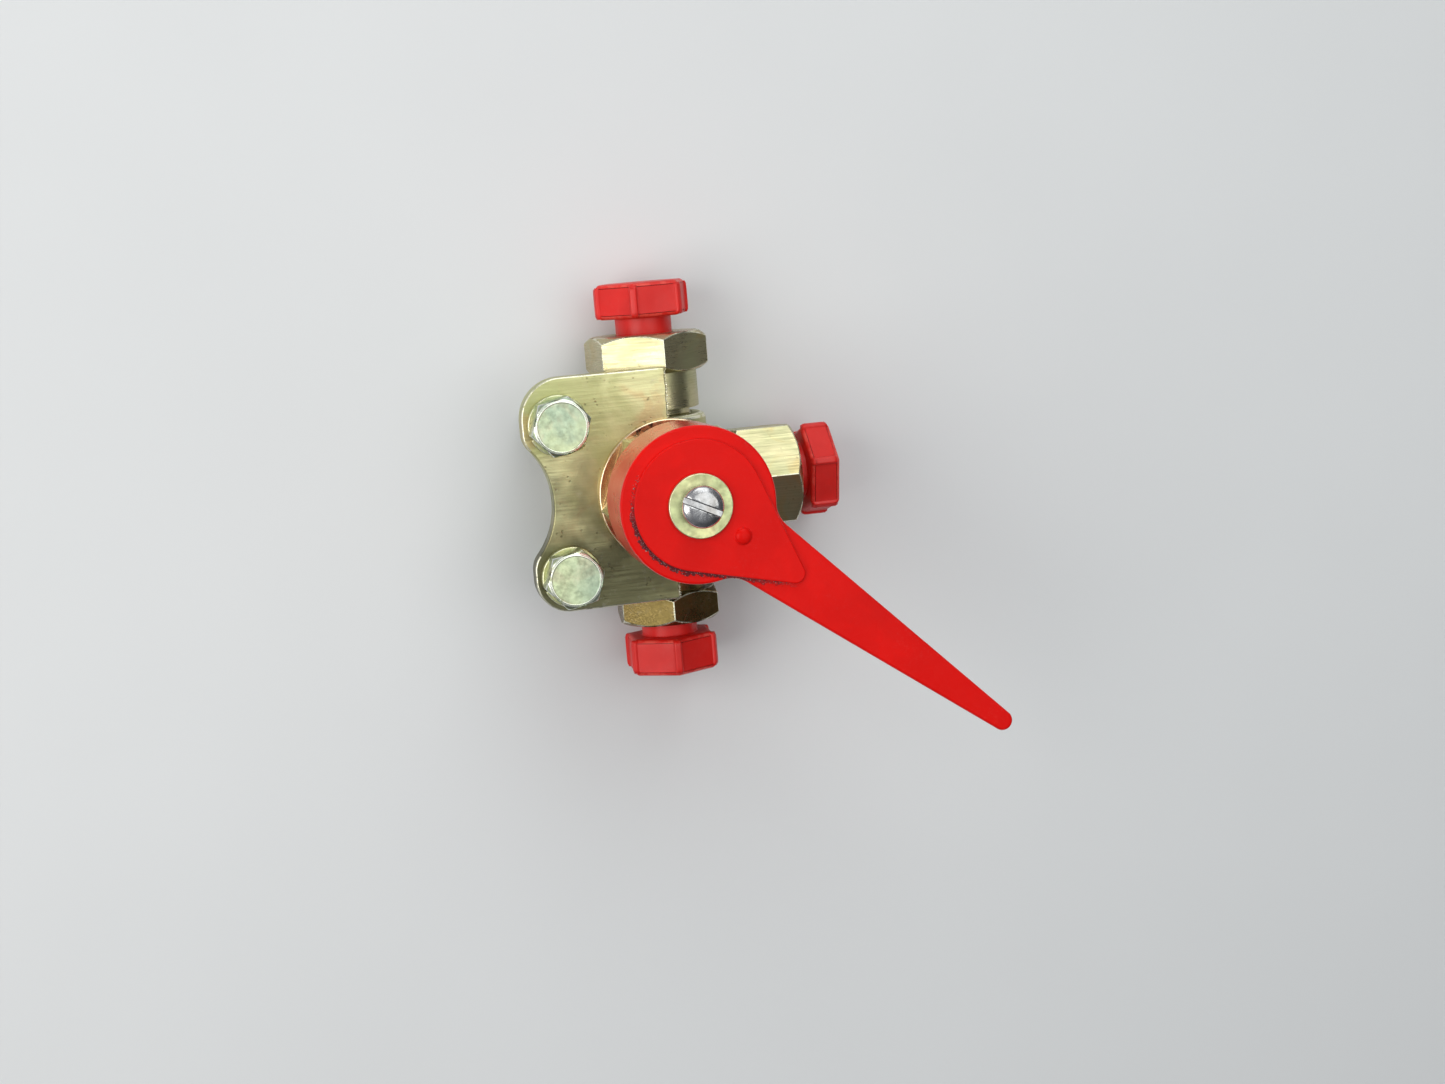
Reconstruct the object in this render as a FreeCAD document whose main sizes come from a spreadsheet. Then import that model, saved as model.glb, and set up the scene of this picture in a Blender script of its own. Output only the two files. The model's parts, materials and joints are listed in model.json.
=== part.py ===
"""Three way ball valve: a forged T body with a mounting flange, three screwed-in
port adapters, an L-bored ball, a stem, a cup shaped lever and protective plugs.

The origin is the middle between the two mounting bolts, on the lower face of
their nuts. +X points to the side port, +Y to the top port and +Z up the stem.
Every piece is drawn about the valve centre, the point where the port axes meet
the stem axis, and its Placement carries it to its place.
"""
import FreeCAD, Part
import math
import os

import Sketcher

# ---------------------------------------------------------------- driving sizes
# name, millimetres or degrees, what it is
SIZES = [
    ("bolt_offset", 26.2, "stem axis to the line of the two mounting bolts"),
    ("bolt_spacing", 36.5, "distance between the mounting bolts"),
    ("bolt_shift", 0.65, "middle of the bolts above the side port axis"),
    ("flange_top", 17.4, "flange upper face above the port axes"),
    ("flange_thickness", 5.0, "flange plate"),
    ("flange_edge_upper", 1.0, "cut edge of the flange beyond the stem axis at its upper end"),
    ("flange_edge_lower", 0.1, "the same at its lower end"),
    ("flange_lug_reach", 8.5, "flange edge beyond the bolt line"),
    ("flange_waist_depth", 6.0, "how far the waist is drawn in from the lugs"),
    ("flange_upper_margin", 11.3, "upper flange edge beyond the upper bolt"),
    ("flange_lower_margin", 8.6, "lower flange edge beyond the lower bolt"),
    ("flange_lug_half", 3.9, "lug edge to bolt centre on the waist side"),
    ("flange_upper_round", 10.0, "radius of the upper lug's outer corner"),
    ("flange_lower_round", 8.0, "radius of the lower lug's outer corner"),
    ("flange_waist_slope", 1.19, "length of the slope into the waist as a share of its depth"),
    ("flange_waist_round", 19.0, "radius of the waist"),
    ("flange_lug_round", 6.0, "radius where lug and waist meet"),
    ("core_radius", 17.0, "round middle of the body"),
    ("core_floor", 4.0, "body below the chamber"),
    ("core_chamfer", 1.5, "chamfer round the underside"),
    ("boss_step", 0.8, "boss faces outside the round middle"),
    ("boss_wall", 3.5, "boss round the adapter's thread"),
    ("boss_chamfer", 1.0, "chamfer round each boss face"),
    ("thread_clearance", 0.05, "gap between a male and a female thread"),
    ("ball_room", 1.0, "gap between the ball and the wall of its chamber"),
    ("ball_radius", 9.0, "ball"),
    ("ball_bore_radius", 3.0, "flow bore of ball and adapters"),
    ("ball_clearance", 0.06, "gap between ball and seats"),
    ("seat_opening", 3.2, "radius of the hole in a seat"),
    ("seat_step", 1.5, "outside radius of a seat below the ball's"),
    ("seat_corner_gap", 0.3, "gap between neighbouring seats, and neighbouring adapters"),
    ("seat_length", 4.8, "length of a seat"),
    ("seat_pocket_clearance", 0.05, "gap round a seat in its pocket"),
    ("seat_pocket_depth", 1.8, "room for the O-ring behind a seat"),
    ("seat_ring_section", 0.9, "section radius of the O-ring behind a seat"),
    ("adapter_groove_lip", 1.1, "wall between an adapter's inner end and its groove"),
    ("adapter_groove_width", 1.7, "O-ring groove width"),
    ("adapter_groove_depth", 1.3, "O-ring groove depth"),
    ("adapter_ring_section", 0.65, "section radius of the adapter's O-ring"),
    ("adapter_relief", 0.3, "depth of the plain neck next to the adapter's thread"),
    ("top_relief_length", 1.5, "length of that neck on the top adapter"),
    ("top_neck_step", 2.1, "thick neck of the top adapter outside its thread"),
    ("top_neck_length", 9.2, "length of the thick neck"),
    ("outlet_radius", 7.0, "M14 thread in the outer end of an adapter"),
    ("outlet_depth", 12.0, "depth of that thread"),
    ("outlet_chamfer", 0.8, "chamfer at its mouth"),
    ("hex_chamfer", 1.6, "depth of the rounded chamfer on a hexagon's corners"),
    ("hex_end_share", 0.985, "end face of a chamfered hexagon as a share of its flats"),
    ("hex_corner_share", 0.09, "how far a corner stands beyond that face, as a share of the flats"),
    ("hex_relief", 0.4, "room that the flange's underside leaves round the top hexagon"),
    ("top_hex", 27.0, "top adapter across flats"),
    ("top_hex_length", 9.5, "length of the top adapter's hexagon"),
    ("small_hex", 24.0, "side and bottom adapters across flats"),
    ("bottom_hex_length", 7.8, "length of the bottom adapter's hexagon"),
    ("side_hex_length", 16.3, "length of the side adapter's hexagon"),
    ("top_hex_turn", 6.0, "turn of the top adapter from a corner straight up"),
    ("bottom_hex_turn", 4.5, "the same for the bottom adapter"),
    ("side_hex_turn", -3.0, "the same for the side adapter"),
    ("bottom_neck_length", 8.1, "plain neck of the bottom adapter"),
    ("side_neck_length", 0.6, "plain neck of the side adapter"),
    ("bonnet_ring_height", 2.0, "thickness of the sealing ring"),
    ("bonnet_hex_height", 11.6, "height of the bonnet hexagon"),
    ("bonnet_hex_turn", 8.3, "turn of the bonnet hexagon about the stem"),
    ("bonnet_wall", 4.0, "bonnet thread outside the stem"),
    ("bonnet_ring_gap", 0.2, "gap between bonnet thread and sealing ring"),
    ("bonnet_rim", 1.6, "bonnet flat outside the stop pin"),
    ("bonnet_neck_wall", 3.5, "wall of the round neck on top of the bonnet"),
    ("bonnet_neck_height", 6.0, "height of that neck"),
    ("stem_radius", 5.0, "stem"),
    ("collar_step", 1.5, "thrust collar outside the stem"),
    ("collar_height", 1.8, "thrust collar"),
    ("collar_lift", 0.2, "thrust collar above the chamber wall"),
    ("stem_clearance", 0.05, "gap between stem and bonnet"),
    ("collar_clearance", 0.1, "gap round the thrust collar"),
    ("thrust_washer_height", 0.6, "thrust washer above the collar"),
    ("tang_width", 3.9, "blade at the lower end of the stem"),
    ("tang_length", 9.0, "length of the blade"),
    ("tang_depth", 2.8, "how far the blade enters the ball"),
    ("tang_clearance", 0.05, "gap on each side of the blade in the ball"),
    ("stem_ring_section", 0.55, "section radius of the stem O-rings"),
    ("stem_groove_width", 1.5, "width of the stem O-ring grooves"),
    ("stem_groove_lift", 5.9, "lower groove above the bonnet's lower end"),
    ("stem_groove_pitch", 6.0, "from one groove to the other"),
    ("stem_square_gap", 0.6, "start of the square above the bonnet neck"),
    ("square_corner", 0.05, "corners of the square end inside the stem's radius"),
    ("square_clearance", 0.05, "gap on each side of the square in the lever"),
    ("stem_end_gap", 0.6, "stem end below the lever's boss"),
    ("lever_wall", 2.8, "wall of the cup"),
    ("lever_rim_gap", 0.3, "cup rim above the bonnet hexagon"),
    ("lever_top", 48.5, "lever plate upper face above the port axes"),
    ("lever_ceiling", 3.4, "thickness of the top of the cup"),
    ("lever_edge_round", 0.7, "radius of the cup's upper edge"),
    ("lever_hub_wall", 3.0, "hub inside the cup outside the stem's radius"),
    ("lever_hub_gap", 1.2, "hub end above the bonnet neck"),
    ("arm_thickness", 3.0, "lever arm"),
    ("arm_reach", 94.0, "arm tip from the stem axis"),
    ("arm_tip_radius", 2.4, "radius of the arm's tip"),
    ("arm_half_angle", 4.5, "taper of each side of the arm"),
    ("arm_root_round", 7.0, "radius between arm and cup"),
    ("boss_height", 1.0, "raised teardrop on the lever"),
    ("teardrop_margin", 3.1, "teardrop's round end inside the cup's edge"),
    ("teardrop_reach", 12.7, "centre of the teardrop's tip beyond its round end"),
    ("teardrop_tip_radius", 2.3, "tip radius of the teardrop"),
    ("dot_radius", 1.8, "small raised dot on the teardrop"),
    ("dot_height", 0.6, "height of the dot"),
    ("dot_offset", 12.4, "dot from the stem axis"),
    ("rest_angle", 40.6, "arm below the side port axis at rest"),
    ("pin_radius", 1.5, "stop pin"),
    ("pin_neck_gap", 2.5, "gap between stop pin and bonnet neck"),
    ("pin_cup_gap", 1.5, "gap between stop pin and cup wall"),
    ("pin_depth", 5.0, "stop pin pressed into the bonnet"),
    ("pin_height", 5.5, "stop pin above the bonnet"),
    ("rib_thickness", 2.5, "stop rib inside the cup"),
    ("rib_gap", 1.0, "stop rib above the bonnet hexagon"),
    ("stop_clearance", 0.06, "gap between pin and rib at the end of travel"),
    ("lever_washer_radius", 7.5, "washer under the lever screw"),
    ("washer_hole_gap", 0.2, "gap round a screw in its washer"),
    ("lever_washer_height", 1.2, "its thickness"),
    ("screw_head_radius", 4.9, "pan head of the lever screw"),
    ("screw_head_height", 3.6, "height of the pan head"),
    ("screw_crown_height", 1.5, "domed part of the pan head"),
    ("screw_slot_width", 1.5, "slot"),
    ("screw_slot_depth", 1.7, "depth of the slot"),
    ("screw_slot_turn", 14.7, "turn of the slot from the arm"),
    ("screw_radius", 2.5, "M5 thread of the lever screw"),
    ("screw_length", 14.0, "length below the head"),
    ("screw_hole_margin", 2.0, "thread hole below the screw's end"),
    ("screw_crown_wide", 0.92, "first step of the dome as a share of the head's radius"),
    ("screw_crown_narrow", 0.66, "second step of the dome, the same way"),
    ("bolt_hole_radius", 4.5, "holes in the flange"),
    ("bolt_radius", 4.0, "M8 thread of the mounting bolts"),
    ("bolt_shank_radius", 3.6, "M8 shank at pitch diameter"),
    ("bolt_length", 35.0, "bolt length below the head"),
    ("bolt_hex", 13.0, "bolt head and nut across flats"),
    ("bolt_head_height", 5.3, "bolt head"),
    ("bolt_head_chamfer", 0.9, "chamfer of bolt head and nut corners"),
    ("bolt_end_chamfer", 0.9, "chamfer at the end of the bolt"),
    ("bolt_head_turn", 12.0, "turn of the bolt heads"),
    ("nut_turn", 20.0, "turn of the nuts"),
    ("spring_washer_radius", 7.3, "outside of the spring washer"),
    ("spring_washer_height", 2.0, "thickness of the spring washer"),
    ("spring_washer_split", 0.8, "gap in the spring washer"),
    ("spring_washer_turn", 200.0, "direction of that gap"),
    ("spring_washer_room", 0.1, "gap round the bolt in its spring washer"),
    ("nut_height", 6.8, "M8 nut"),
    ("plug_wall", 2.0, "closed outer end of a plug"),
    ("plug_skin", 2.4, "wall of a plug's hollow shank"),
    ("plug_end_gap", 2.5, "thread left free below a plug"),
    ("plug_hex", 20.4, "plug head across flats"),
    ("plug_rib_radius", 1.3, "round rib on each corner of a plug head"),
    ("plug_rib_inset", 1.4, "centre of a rib inside the hexagon's corner"),
    ("plug_edge_round", 1.2, "rounded edges of a plug head"),
    ("top_plug_gap", 4.1, "plug head from the top adapter's end"),
    ("bottom_plug_gap", 3.6, "plug head from the bottom adapter's end"),
    ("side_plug_gap", 2.5, "plug head from the side adapter's end"),
    ("top_plug_head", 8.6, "length of the top plug's head"),
    ("bottom_plug_head", 9.3, "length of the bottom plug's head"),
    ("side_plug_head", 7.5, "length of the side plug's head"),
    ("top_plug_turn", -20.0, "turn of the top plug about its axis"),
    ("bottom_plug_turn", 3.0, "turn of the bottom plug about its axis"),
    ("side_plug_turn", -15.0, "turn of the side plug about its axis"),
]

# The valve centre in the frame of the origin.
CENTRE_X = "Dims.bolt_offset"
CENTRE_Y = "-Dims.bolt_shift"
CENTRE_Z = "Dims.nut_height + Dims.flange_thickness - Dims.flange_top"

# Sizes that several pieces share, worked out from the ball outwards.
CHAMBER = "(Dims.ball_radius + Dims.ball_room)"
PORT_THREAD = CHAMBER
BOSS_RADIUS = f"({PORT_THREAD} + Dims.boss_wall)"
CORE_BOTTOM = f"({CHAMBER} + Dims.core_floor)"
BOSS_FACE = "(Dims.core_radius + Dims.boss_step)"
SEAT_RADIUS = "(Dims.ball_radius - Dims.seat_step)"
SEAT_FRONT = f"({SEAT_RADIUS} + Dims.seat_corner_gap)"
SEAT_BACK = f"({SEAT_FRONT} + Dims.seat_length)"
SEAT_POCKET = f"({SEAT_RADIUS} + Dims.seat_pocket_clearance)"
POCKET_END = f"({SEAT_BACK} + Dims.seat_pocket_depth)"

# Distances along a port axis from the valve centre.
ADAPTER_INNER_END = f"({PORT_THREAD} + Dims.seat_corner_gap)"
GROOVE_START = f"({ADAPTER_INNER_END} + Dims.adapter_groove_lip)"
RELIEF_RADIUS = f"({PORT_THREAD} - Dims.adapter_relief)"
TOP_NECK_RADIUS = f"({PORT_THREAD} + Dims.top_neck_step)"
TOP_NECK_START = f"({BOSS_FACE} + Dims.top_relief_length)"
TOP_HEX_START = f"({TOP_NECK_START} + Dims.top_neck_length)"
TOP_END = f"({TOP_HEX_START} + Dims.top_hex_length)"
BOTTOM_HEX_START = f"({BOSS_FACE} + Dims.bottom_neck_length)"
BOTTOM_END = f"({BOTTOM_HEX_START} + Dims.bottom_hex_length)"
SIDE_HEX_START = f"({BOSS_FACE} + Dims.side_neck_length)"
SIDE_END = f"({SIDE_HEX_START} + Dims.side_hex_length)"

# Radii about the stem axis, worked out from the stem outwards.
STEM_BORE = "(Dims.stem_radius + Dims.stem_clearance)"
COLLAR_RADIUS = "(Dims.stem_radius + Dims.collar_step)"
BONNET_THREAD = "(Dims.stem_radius + Dims.bonnet_wall)"
NECK_RADIUS = "(Dims.stem_radius + Dims.bonnet_neck_wall)"
STEM_SQUARE = "((Dims.stem_radius - Dims.square_corner) * sqrt(2))"
HUB_RADIUS = "(Dims.stem_radius + Dims.lever_hub_wall)"
PIN_CIRCLE = f"({NECK_RADIUS} + Dims.pin_neck_gap + Dims.pin_radius)"
BONNET_HEX = f"(2 * ({PIN_CIRCLE} + Dims.pin_radius + Dims.bonnet_rim))"
BONNET_CORNER = f"({BONNET_HEX} / 2 / cos(30))"
CUP_INSIDE = f"({PIN_CIRCLE} + Dims.pin_radius + Dims.pin_cup_gap)"
CUP_RADIUS = f"({CUP_INSIDE} + Dims.lever_wall)"
TEARDROP_RADIUS = f"({CUP_RADIUS} - Dims.teardrop_margin)"
TEARDROP_TIP = f"({TEARDROP_RADIUS} + Dims.teardrop_reach)"

# Heights above the port axes.
COLLAR_BOTTOM = f"({CHAMBER} + Dims.collar_lift)"
WASHER_FLOOR = f"({COLLAR_BOTTOM} + Dims.collar_height)"
BONNET_BOTTOM = f"({WASHER_FLOOR} + Dims.thrust_washer_height)"
TANG_BOTTOM = "(Dims.ball_radius - Dims.tang_depth)"
LOW_GROOVE = f"({BONNET_BOTTOM} + Dims.stem_groove_lift)"
HIGH_GROOVE = f"({LOW_GROOVE} + Dims.stem_groove_pitch)"
BONNET_SEAT = "(Dims.flange_top + Dims.bonnet_ring_height)"
BONNET_TOP = f"({BONNET_SEAT} + Dims.bonnet_hex_height)"
NECK_TOP = f"({BONNET_TOP} + Dims.bonnet_neck_height)"
SQUARE_START = f"({NECK_TOP} + Dims.stem_square_gap)"
CUP_RIM = f"({BONNET_TOP} + Dims.lever_rim_gap)"
BOSS_TOP = "(Dims.lever_top + Dims.boss_height)"
HEAD_SEAT = f"({BOSS_TOP} + Dims.lever_washer_height)"
STEM_TOP = f"({BOSS_TOP} - Dims.stem_end_gap)"
FLANGE_BOTTOM = "(Dims.flange_top - Dims.flange_thickness)"
NUT_BOTTOM = f"({FLANGE_BOTTOM} - Dims.nut_height)"
BOLT_SEAT = "(Dims.flange_top + Dims.spring_washer_height)"
BOLT_MIDDLE_Y = "Dims.bolt_shift"

# Plugs.
PLUG_SHANK = "(Dims.outlet_radius - Dims.thread_clearance)"
PLUG_BORE = f"({PLUG_SHANK} - Dims.plug_skin)"
PLUG_LENGTH_IN = "(Dims.outlet_depth - Dims.plug_end_gap)"

# Port directions as turns about Z of a piece drawn along +X.
SIDE, TOP, BACK, BOTTOM = 0, 90, 180, 270

X_AXIS = FreeCAD.Vector(1, 0, 0)
Y_AXIS = FreeCAD.Vector(0, 1, 0)
Z_AXIS = FreeCAD.Vector(0, 0, 1)
ON_H_AXIS = -1
ON_V_AXIS = -2

doc = FreeCAD.newDocument("three_way_valve")
nodes = []


# ---------------------------------------------------------------------- helpers
def fill_sheet():
    """Write every driving size into the spreadsheet under its own name."""
    sheet = doc.addObject("Spreadsheet::Sheet", "Dims")
    for row, (alias, value, note) in enumerate(SIZES, start=1):
        sheet.set(f"A{row}", alias)
        sheet.set(f"B{row}", str(value))
        sheet.set(f"C{row}", note)
        sheet.setAlias(f"B{row}", alias)
    doc.recompute()
    return sheet


def size(expression):
    """Value of an expression on the sheet, in millimetres or degrees."""
    value = sheet.evalExpression(expression)
    return float(getattr(value, "Value", value))


def new_body(label):
    """An empty PartDesign body for one piece."""
    body = doc.addObject("PartDesign::Body", label)
    body.Label = label
    nodes.append(body)
    return body


def place(piece, axis=Z_AXIS, turn=None, x=None, y=None, z=None):
    """Carry a piece from the valve centre to its place, with a turn about one axis."""
    if turn is not None:
        rotation = FreeCAD.Rotation(axis, size(turn))
        piece.Placement = FreeCAD.Placement(FreeCAD.Vector(0, 0, 0), rotation)
        parts = zip(("x", "y", "z"), axis)
        for letter, part in parts:
            piece.setExpression(f".Placement.Rotation.Axis.{letter}", str(part))
        piece.setExpression(".Placement.Rotation.Angle", turn)
    for letter, centre, extra in (("x", CENTRE_X, x), ("y", CENTRE_Y, y), ("z", CENTRE_Z, z)):
        where = centre if extra is None else f"{centre} + {extra}"
        piece.setExpression(f".Placement.Base.{letter}", where)


def sketch_on(body, plane, name, height=None, turn=None):
    """A sketch on one of the body's origin planes, raised or turned if asked."""
    sketch = body.newObject("Sketcher::SketchObject", f"{body.Name}_{name}")
    support = next(f for f in body.Origin.OriginFeatures if f.Role == plane)
    sketch.AttachmentSupport = [(support, "")]
    sketch.MapMode = "FlatFace"
    if turn is not None:
        rotation = FreeCAD.Rotation(Z_AXIS, size(turn))
        sketch.AttachmentOffset = FreeCAD.Placement(FreeCAD.Vector(), rotation)
        sketch.setExpression(".AttachmentOffset.Rotation.Angle", turn)
    if height is not None:
        sketch.setExpression(".AttachmentOffset.Base.z", height)
    return sketch


def pin_point(sketch, geometry, end, x, y):
    """Fix one end of a sketch line at a pair of expressions."""
    for kind, axis, expression in (("DistanceX", ON_V_AXIS, x), ("DistanceY", ON_H_AXIS, y)):
        if expression == "0":
            sketch.addConstraint(Sketcher.Constraint("PointOnObject", geometry, end, axis))
            continue
        constraint = Sketcher.Constraint(kind, -1, 1, geometry, end, size(expression))
        index = sketch.addConstraint(constraint)
        sketch.setExpression(f"Constraints[{index}]", expression)


def polygon(sketch, corners):
    """Closed outline whose corners are pairs of expressions."""
    points = [FreeCAD.Vector(size(x), size(y), 0) for x, y in corners]
    count = len(corners)
    for i in range(count):
        sketch.addGeometry(Part.LineSegment(points[i], points[(i + 1) % count]), False)
    for i in range(count):
        sketch.addConstraint(Sketcher.Constraint("Coincident", i, 2, (i + 1) % count, 1))
        pin_point(sketch, i, 1, *corners[i])
    return sketch


def circle(sketch, radius, x="0", y="0"):
    """Circle with its centre and radius given by expressions."""
    centre = FreeCAD.Vector(size(x), size(y), 0)
    index = sketch.addGeometry(Part.Circle(centre, Z_AXIS, size(radius)), False)
    pin_point(sketch, index, 3, x, y)
    constraint = sketch.addConstraint(Sketcher.Constraint("Radius", index, size(radius)))
    sketch.setExpression(f"Constraints[{constraint}]", radius)
    return sketch


def hexagon(sketch, flats, turn="0"):
    """Regular hexagon across the given flats, with a corner on +X plus a turn."""
    corner = f"{flats} / 2 / cos(30)"
    corners = []
    for step in range(6):
        angle = f"({60 * step} + {turn})"
        corners.append((f"{corner} * cos({angle})", f"{corner} * sin({angle})"))
    return polygon(sketch, corners)


def rectangle(sketch, low_x, high_x, low_y, high_y):
    """Rectangle between two pairs of expressions."""
    return polygon(sketch, [(low_x, low_y), (high_x, low_y), (high_x, high_y), (low_x, high_y)])


def feature(body, kind, sketch, name):
    """A PartDesign feature that uses the sketch."""
    made = body.newObject(f"PartDesign::{kind}", f"{body.Name}_{name}")
    made.Profile = sketch
    sketch.Visibility = False
    return made


def pad(body, sketch, name, length):
    """Extrude a sketch upwards."""
    made = feature(body, "Pad", sketch, name)
    made.setExpression("Length", length)
    return made


def turned(body, kind, name, corners, plane="XZ_Plane", axis="V_Axis"):
    """Revolution or Groove of a closed outline of (radius, height) pairs."""
    sketch = polygon(sketch_on(body, plane, f"{name}_profile"), corners)
    made = feature(body, kind, sketch, name)
    made.ReferenceAxis = (sketch, [axis])
    made.Angle = 360
    return made


def ring(body, name, inner, outer, low, high):
    """A plain ring about the Z axis."""
    corners = [(inner, low), (outer, low), (outer, high), (inner, high)]
    return turned(body, "Revolution", name, corners)


def bore(body, name, radius, low, high):
    """Cut a round hole along the Z axis."""
    corners = [("0", low), (radius, low), (radius, high), ("0", high)]
    return turned(body, "Groove", name, corners)


def chamfer_corners(body, name, flats, depth, low, high):
    """Turn the corners of a hexagon down to a cone at its ends."""
    reach = f"({flats} / 2 / cos(30) + 1)"
    touch = f"({flats} / 2 * Dims.hex_end_share)"
    rise = f"(({reach} - {touch}) * {depth} / ({flats} * Dims.hex_corner_share))"
    for part, end, sign in (("lower", low, "+"), ("upper", high, "-")):
        if end is None:
            continue
        corners = [(touch, end), (reach, end), (reach, f"{end} {sign} {rise}")]
        turned(body, "Groove", f"{name}_{part}", corners)


def round_edges(body, name, radius, wanted):
    """Fillet the edges of the body's tip that the test picks out."""
    doc.recompute()
    base = body.Tip
    names = []
    for number, edge in enumerate(base.Shape.Edges, start=1):
        if wanted(edge):
            names.append(f"Edge{number}")
    if not names:
        raise RuntimeError(f"{body.Label}: no edge found for {name}")
    made = body.newObject("PartDesign::Fillet", f"{body.Name}_{name}")
    made.Base = (base, names)
    made.setExpression("Radius", radius)
    doc.recompute()
    return made


def upright_edge_at(x, y, reach=0.05):
    """Test for an edge along Z through a point, given by expressions."""
    spot = FreeCAD.Vector(size(x), size(y), 0)

    def test(edge):
        ends = [v.Point for v in edge.Vertexes]
        if len(ends) != 2 or (ends[0] - ends[1]).cross(Z_AXIS).Length > reach:
            return False
        return math.hypot(ends[0].x - spot.x, ends[0].y - spot.y) < reach

    return test


def solid_of(label, shape_object):
    """Name a finished Part object as a node."""
    shape_object.Label = label
    nodes.append(shape_object)
    return shape_object


def primitive(kind, name, **sizes):
    """A Part primitive with each property bound to an expression."""
    made = doc.addObject(f"Part::{kind}", name)
    for prop, expression in sizes.items():
        made.setExpression(prop, expression)
    return made


def cut(name, base, tool):
    """Part::Cut of two objects."""
    made = doc.addObject("Part::Cut", name)
    made.Base = base
    made.Tool = tool
    return made


# ------------------------------------------------------------------------- body
def make_valve_body():
    """Round core, four bosses and the mounting flange, bored for the ball."""
    body = new_body("valve_body")
    core = circle(sketch_on(body, "XY_Plane", "core_outline", f"-{CORE_BOTTOM}"), "Dims.core_radius")
    pad(body, core, "core", f"{CORE_BOTTOM} + Dims.flange_top")
    low = f"-{CORE_BOTTOM}"
    inner = "Dims.core_radius - Dims.core_chamfer"
    corners = [(inner, low), ("Dims.core_radius + 1", low),
               ("Dims.core_radius + 1", f"{low} + Dims.core_chamfer + 1")]
    turned(body, "Groove", "core_chamfer_cut", corners)

    boss = [(f"-{BOSS_FACE}", "0"), (f"-{BOSS_FACE}", f"{BOSS_RADIUS} - Dims.boss_chamfer"),
            (f"-{BOSS_FACE} + Dims.boss_chamfer", BOSS_RADIUS),
            (f"{BOSS_FACE} - Dims.boss_chamfer", BOSS_RADIUS),
            (BOSS_FACE, f"{BOSS_RADIUS} - Dims.boss_chamfer"), (BOSS_FACE, "0")]
    turned(body, "Revolution", "side_and_back_bosses", boss, "XY_Plane", "H_Axis")
    upright = [(y, x) for x, y in boss]
    turned(body, "Revolution", "top_and_bottom_bosses", upright, "XY_Plane", "V_Axis")
    make_flange(body)

    beside_neck = f"({TOP_NECK_RADIUS} + Dims.hex_relief / 2)"
    beside_hex = "(Dims.top_hex / 2 / cos(30) + Dims.hex_relief)"
    step = f"({TOP_HEX_START} - Dims.hex_relief)"
    end = f"({TOP_END} + 1)"
    relief = [("0", BOSS_FACE), (beside_neck, BOSS_FACE), (beside_neck, step),
              (beside_hex, step), (beside_hex, end), ("0", end)]
    turned(body, "Groove", "top_adapter_relief", relief, "XY_Plane", "V_Axis")

    hole = PORT_THREAD
    far = f"{BOSS_FACE} + 1"
    through = [("0", f"-({far})"), (hole, f"-({far})"), (hole, far), ("0", far)]
    turned(body, "Groove", "top_and_bottom_bore", through, "XY_Plane", "V_Axis")
    side = [(f"-{ADAPTER_INNER_END}", "0"), (f"-{ADAPTER_INNER_END}", hole), (far, hole), (far, "0")]
    turned(body, "Groove", "side_bore", side, "XY_Plane", "H_Axis")
    pocket = [(f"-{POCKET_END}", "0"), (f"-{POCKET_END}", SEAT_POCKET), ("0", SEAT_POCKET), ("0", "0")]
    turned(body, "Groove", "back_seat_pocket", pocket, "XY_Plane", "H_Axis")
    bore(body, "collar_recess", f"{COLLAR_RADIUS} + Dims.collar_clearance", "0", BONNET_BOTTOM)
    bore(body, "bonnet_thread", f"{BONNET_THREAD} + Dims.thread_clearance",
         BONNET_BOTTOM, "Dims.flange_top + 1")
    place(body)


def make_flange(body):
    """Mounting flange with two lugs, a waist between them and two bolt holes."""
    left = "-(Dims.bolt_offset + Dims.flange_lug_reach)"
    waist = f"({left} + Dims.flange_waist_depth)"
    upper_bolt = f"({BOLT_MIDDLE_Y} + Dims.bolt_spacing / 2)"
    lower_bolt = f"({BOLT_MIDDLE_Y} - Dims.bolt_spacing / 2)"
    upper = f"{upper_bolt} + Dims.flange_upper_margin"
    lower = f"{lower_bolt} - Dims.flange_lower_margin"
    upper_lug = f"{upper_bolt} - Dims.flange_lug_half"
    lower_lug = f"{lower_bolt} + Dims.flange_lug_half"
    slope = "Dims.flange_waist_depth * Dims.flange_waist_slope"
    floor = "Dims.flange_top - Dims.flange_thickness"
    outline = [("Dims.flange_edge_lower", lower), ("Dims.flange_edge_upper", upper),
               (left, upper), (left, upper_lug),
               (waist, f"{upper_lug} - {slope}"), (waist, f"{lower_lug} + {slope}"),
               (left, lower_lug), (left, lower)]
    sketch = polygon(sketch_on(body, "XY_Plane", "flange_outline", floor), outline)
    pad(body, sketch, "flange", "Dims.flange_thickness")
    doc.recompute()
    round_edges(body, "upper_lug_round", "Dims.flange_upper_round", upright_edge_at(*outline[2]))
    round_edges(body, "lower_lug_round", "Dims.flange_lower_round", upright_edge_at(*outline[7]))
    for name, radius, corners in (("waist_rounds", "Dims.flange_waist_round", (4, 5)),
                                  ("lug_rounds", "Dims.flange_lug_round", (3, 6))):
        spots = [upright_edge_at(*outline[i]) for i in corners]
        round_edges(body, name, radius, lambda edge: any(test(edge) for test in spots))
    line = "-Dims.bolt_offset"
    for name, y in (("upper_bolt_hole", upper_bolt), ("lower_bolt_hole", lower_bolt)):
        hole = circle(sketch_on(body, "XY_Plane", f"{name}_outline", "Dims.flange_top"),
                      "Dims.bolt_hole_radius", line, y)
        made = feature(body, "Pocket", hole, name)
        made.setExpression("Length", "Dims.flange_thickness")
        # a pocket cuts against its sketch's normal, so it goes down into the flange


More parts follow.
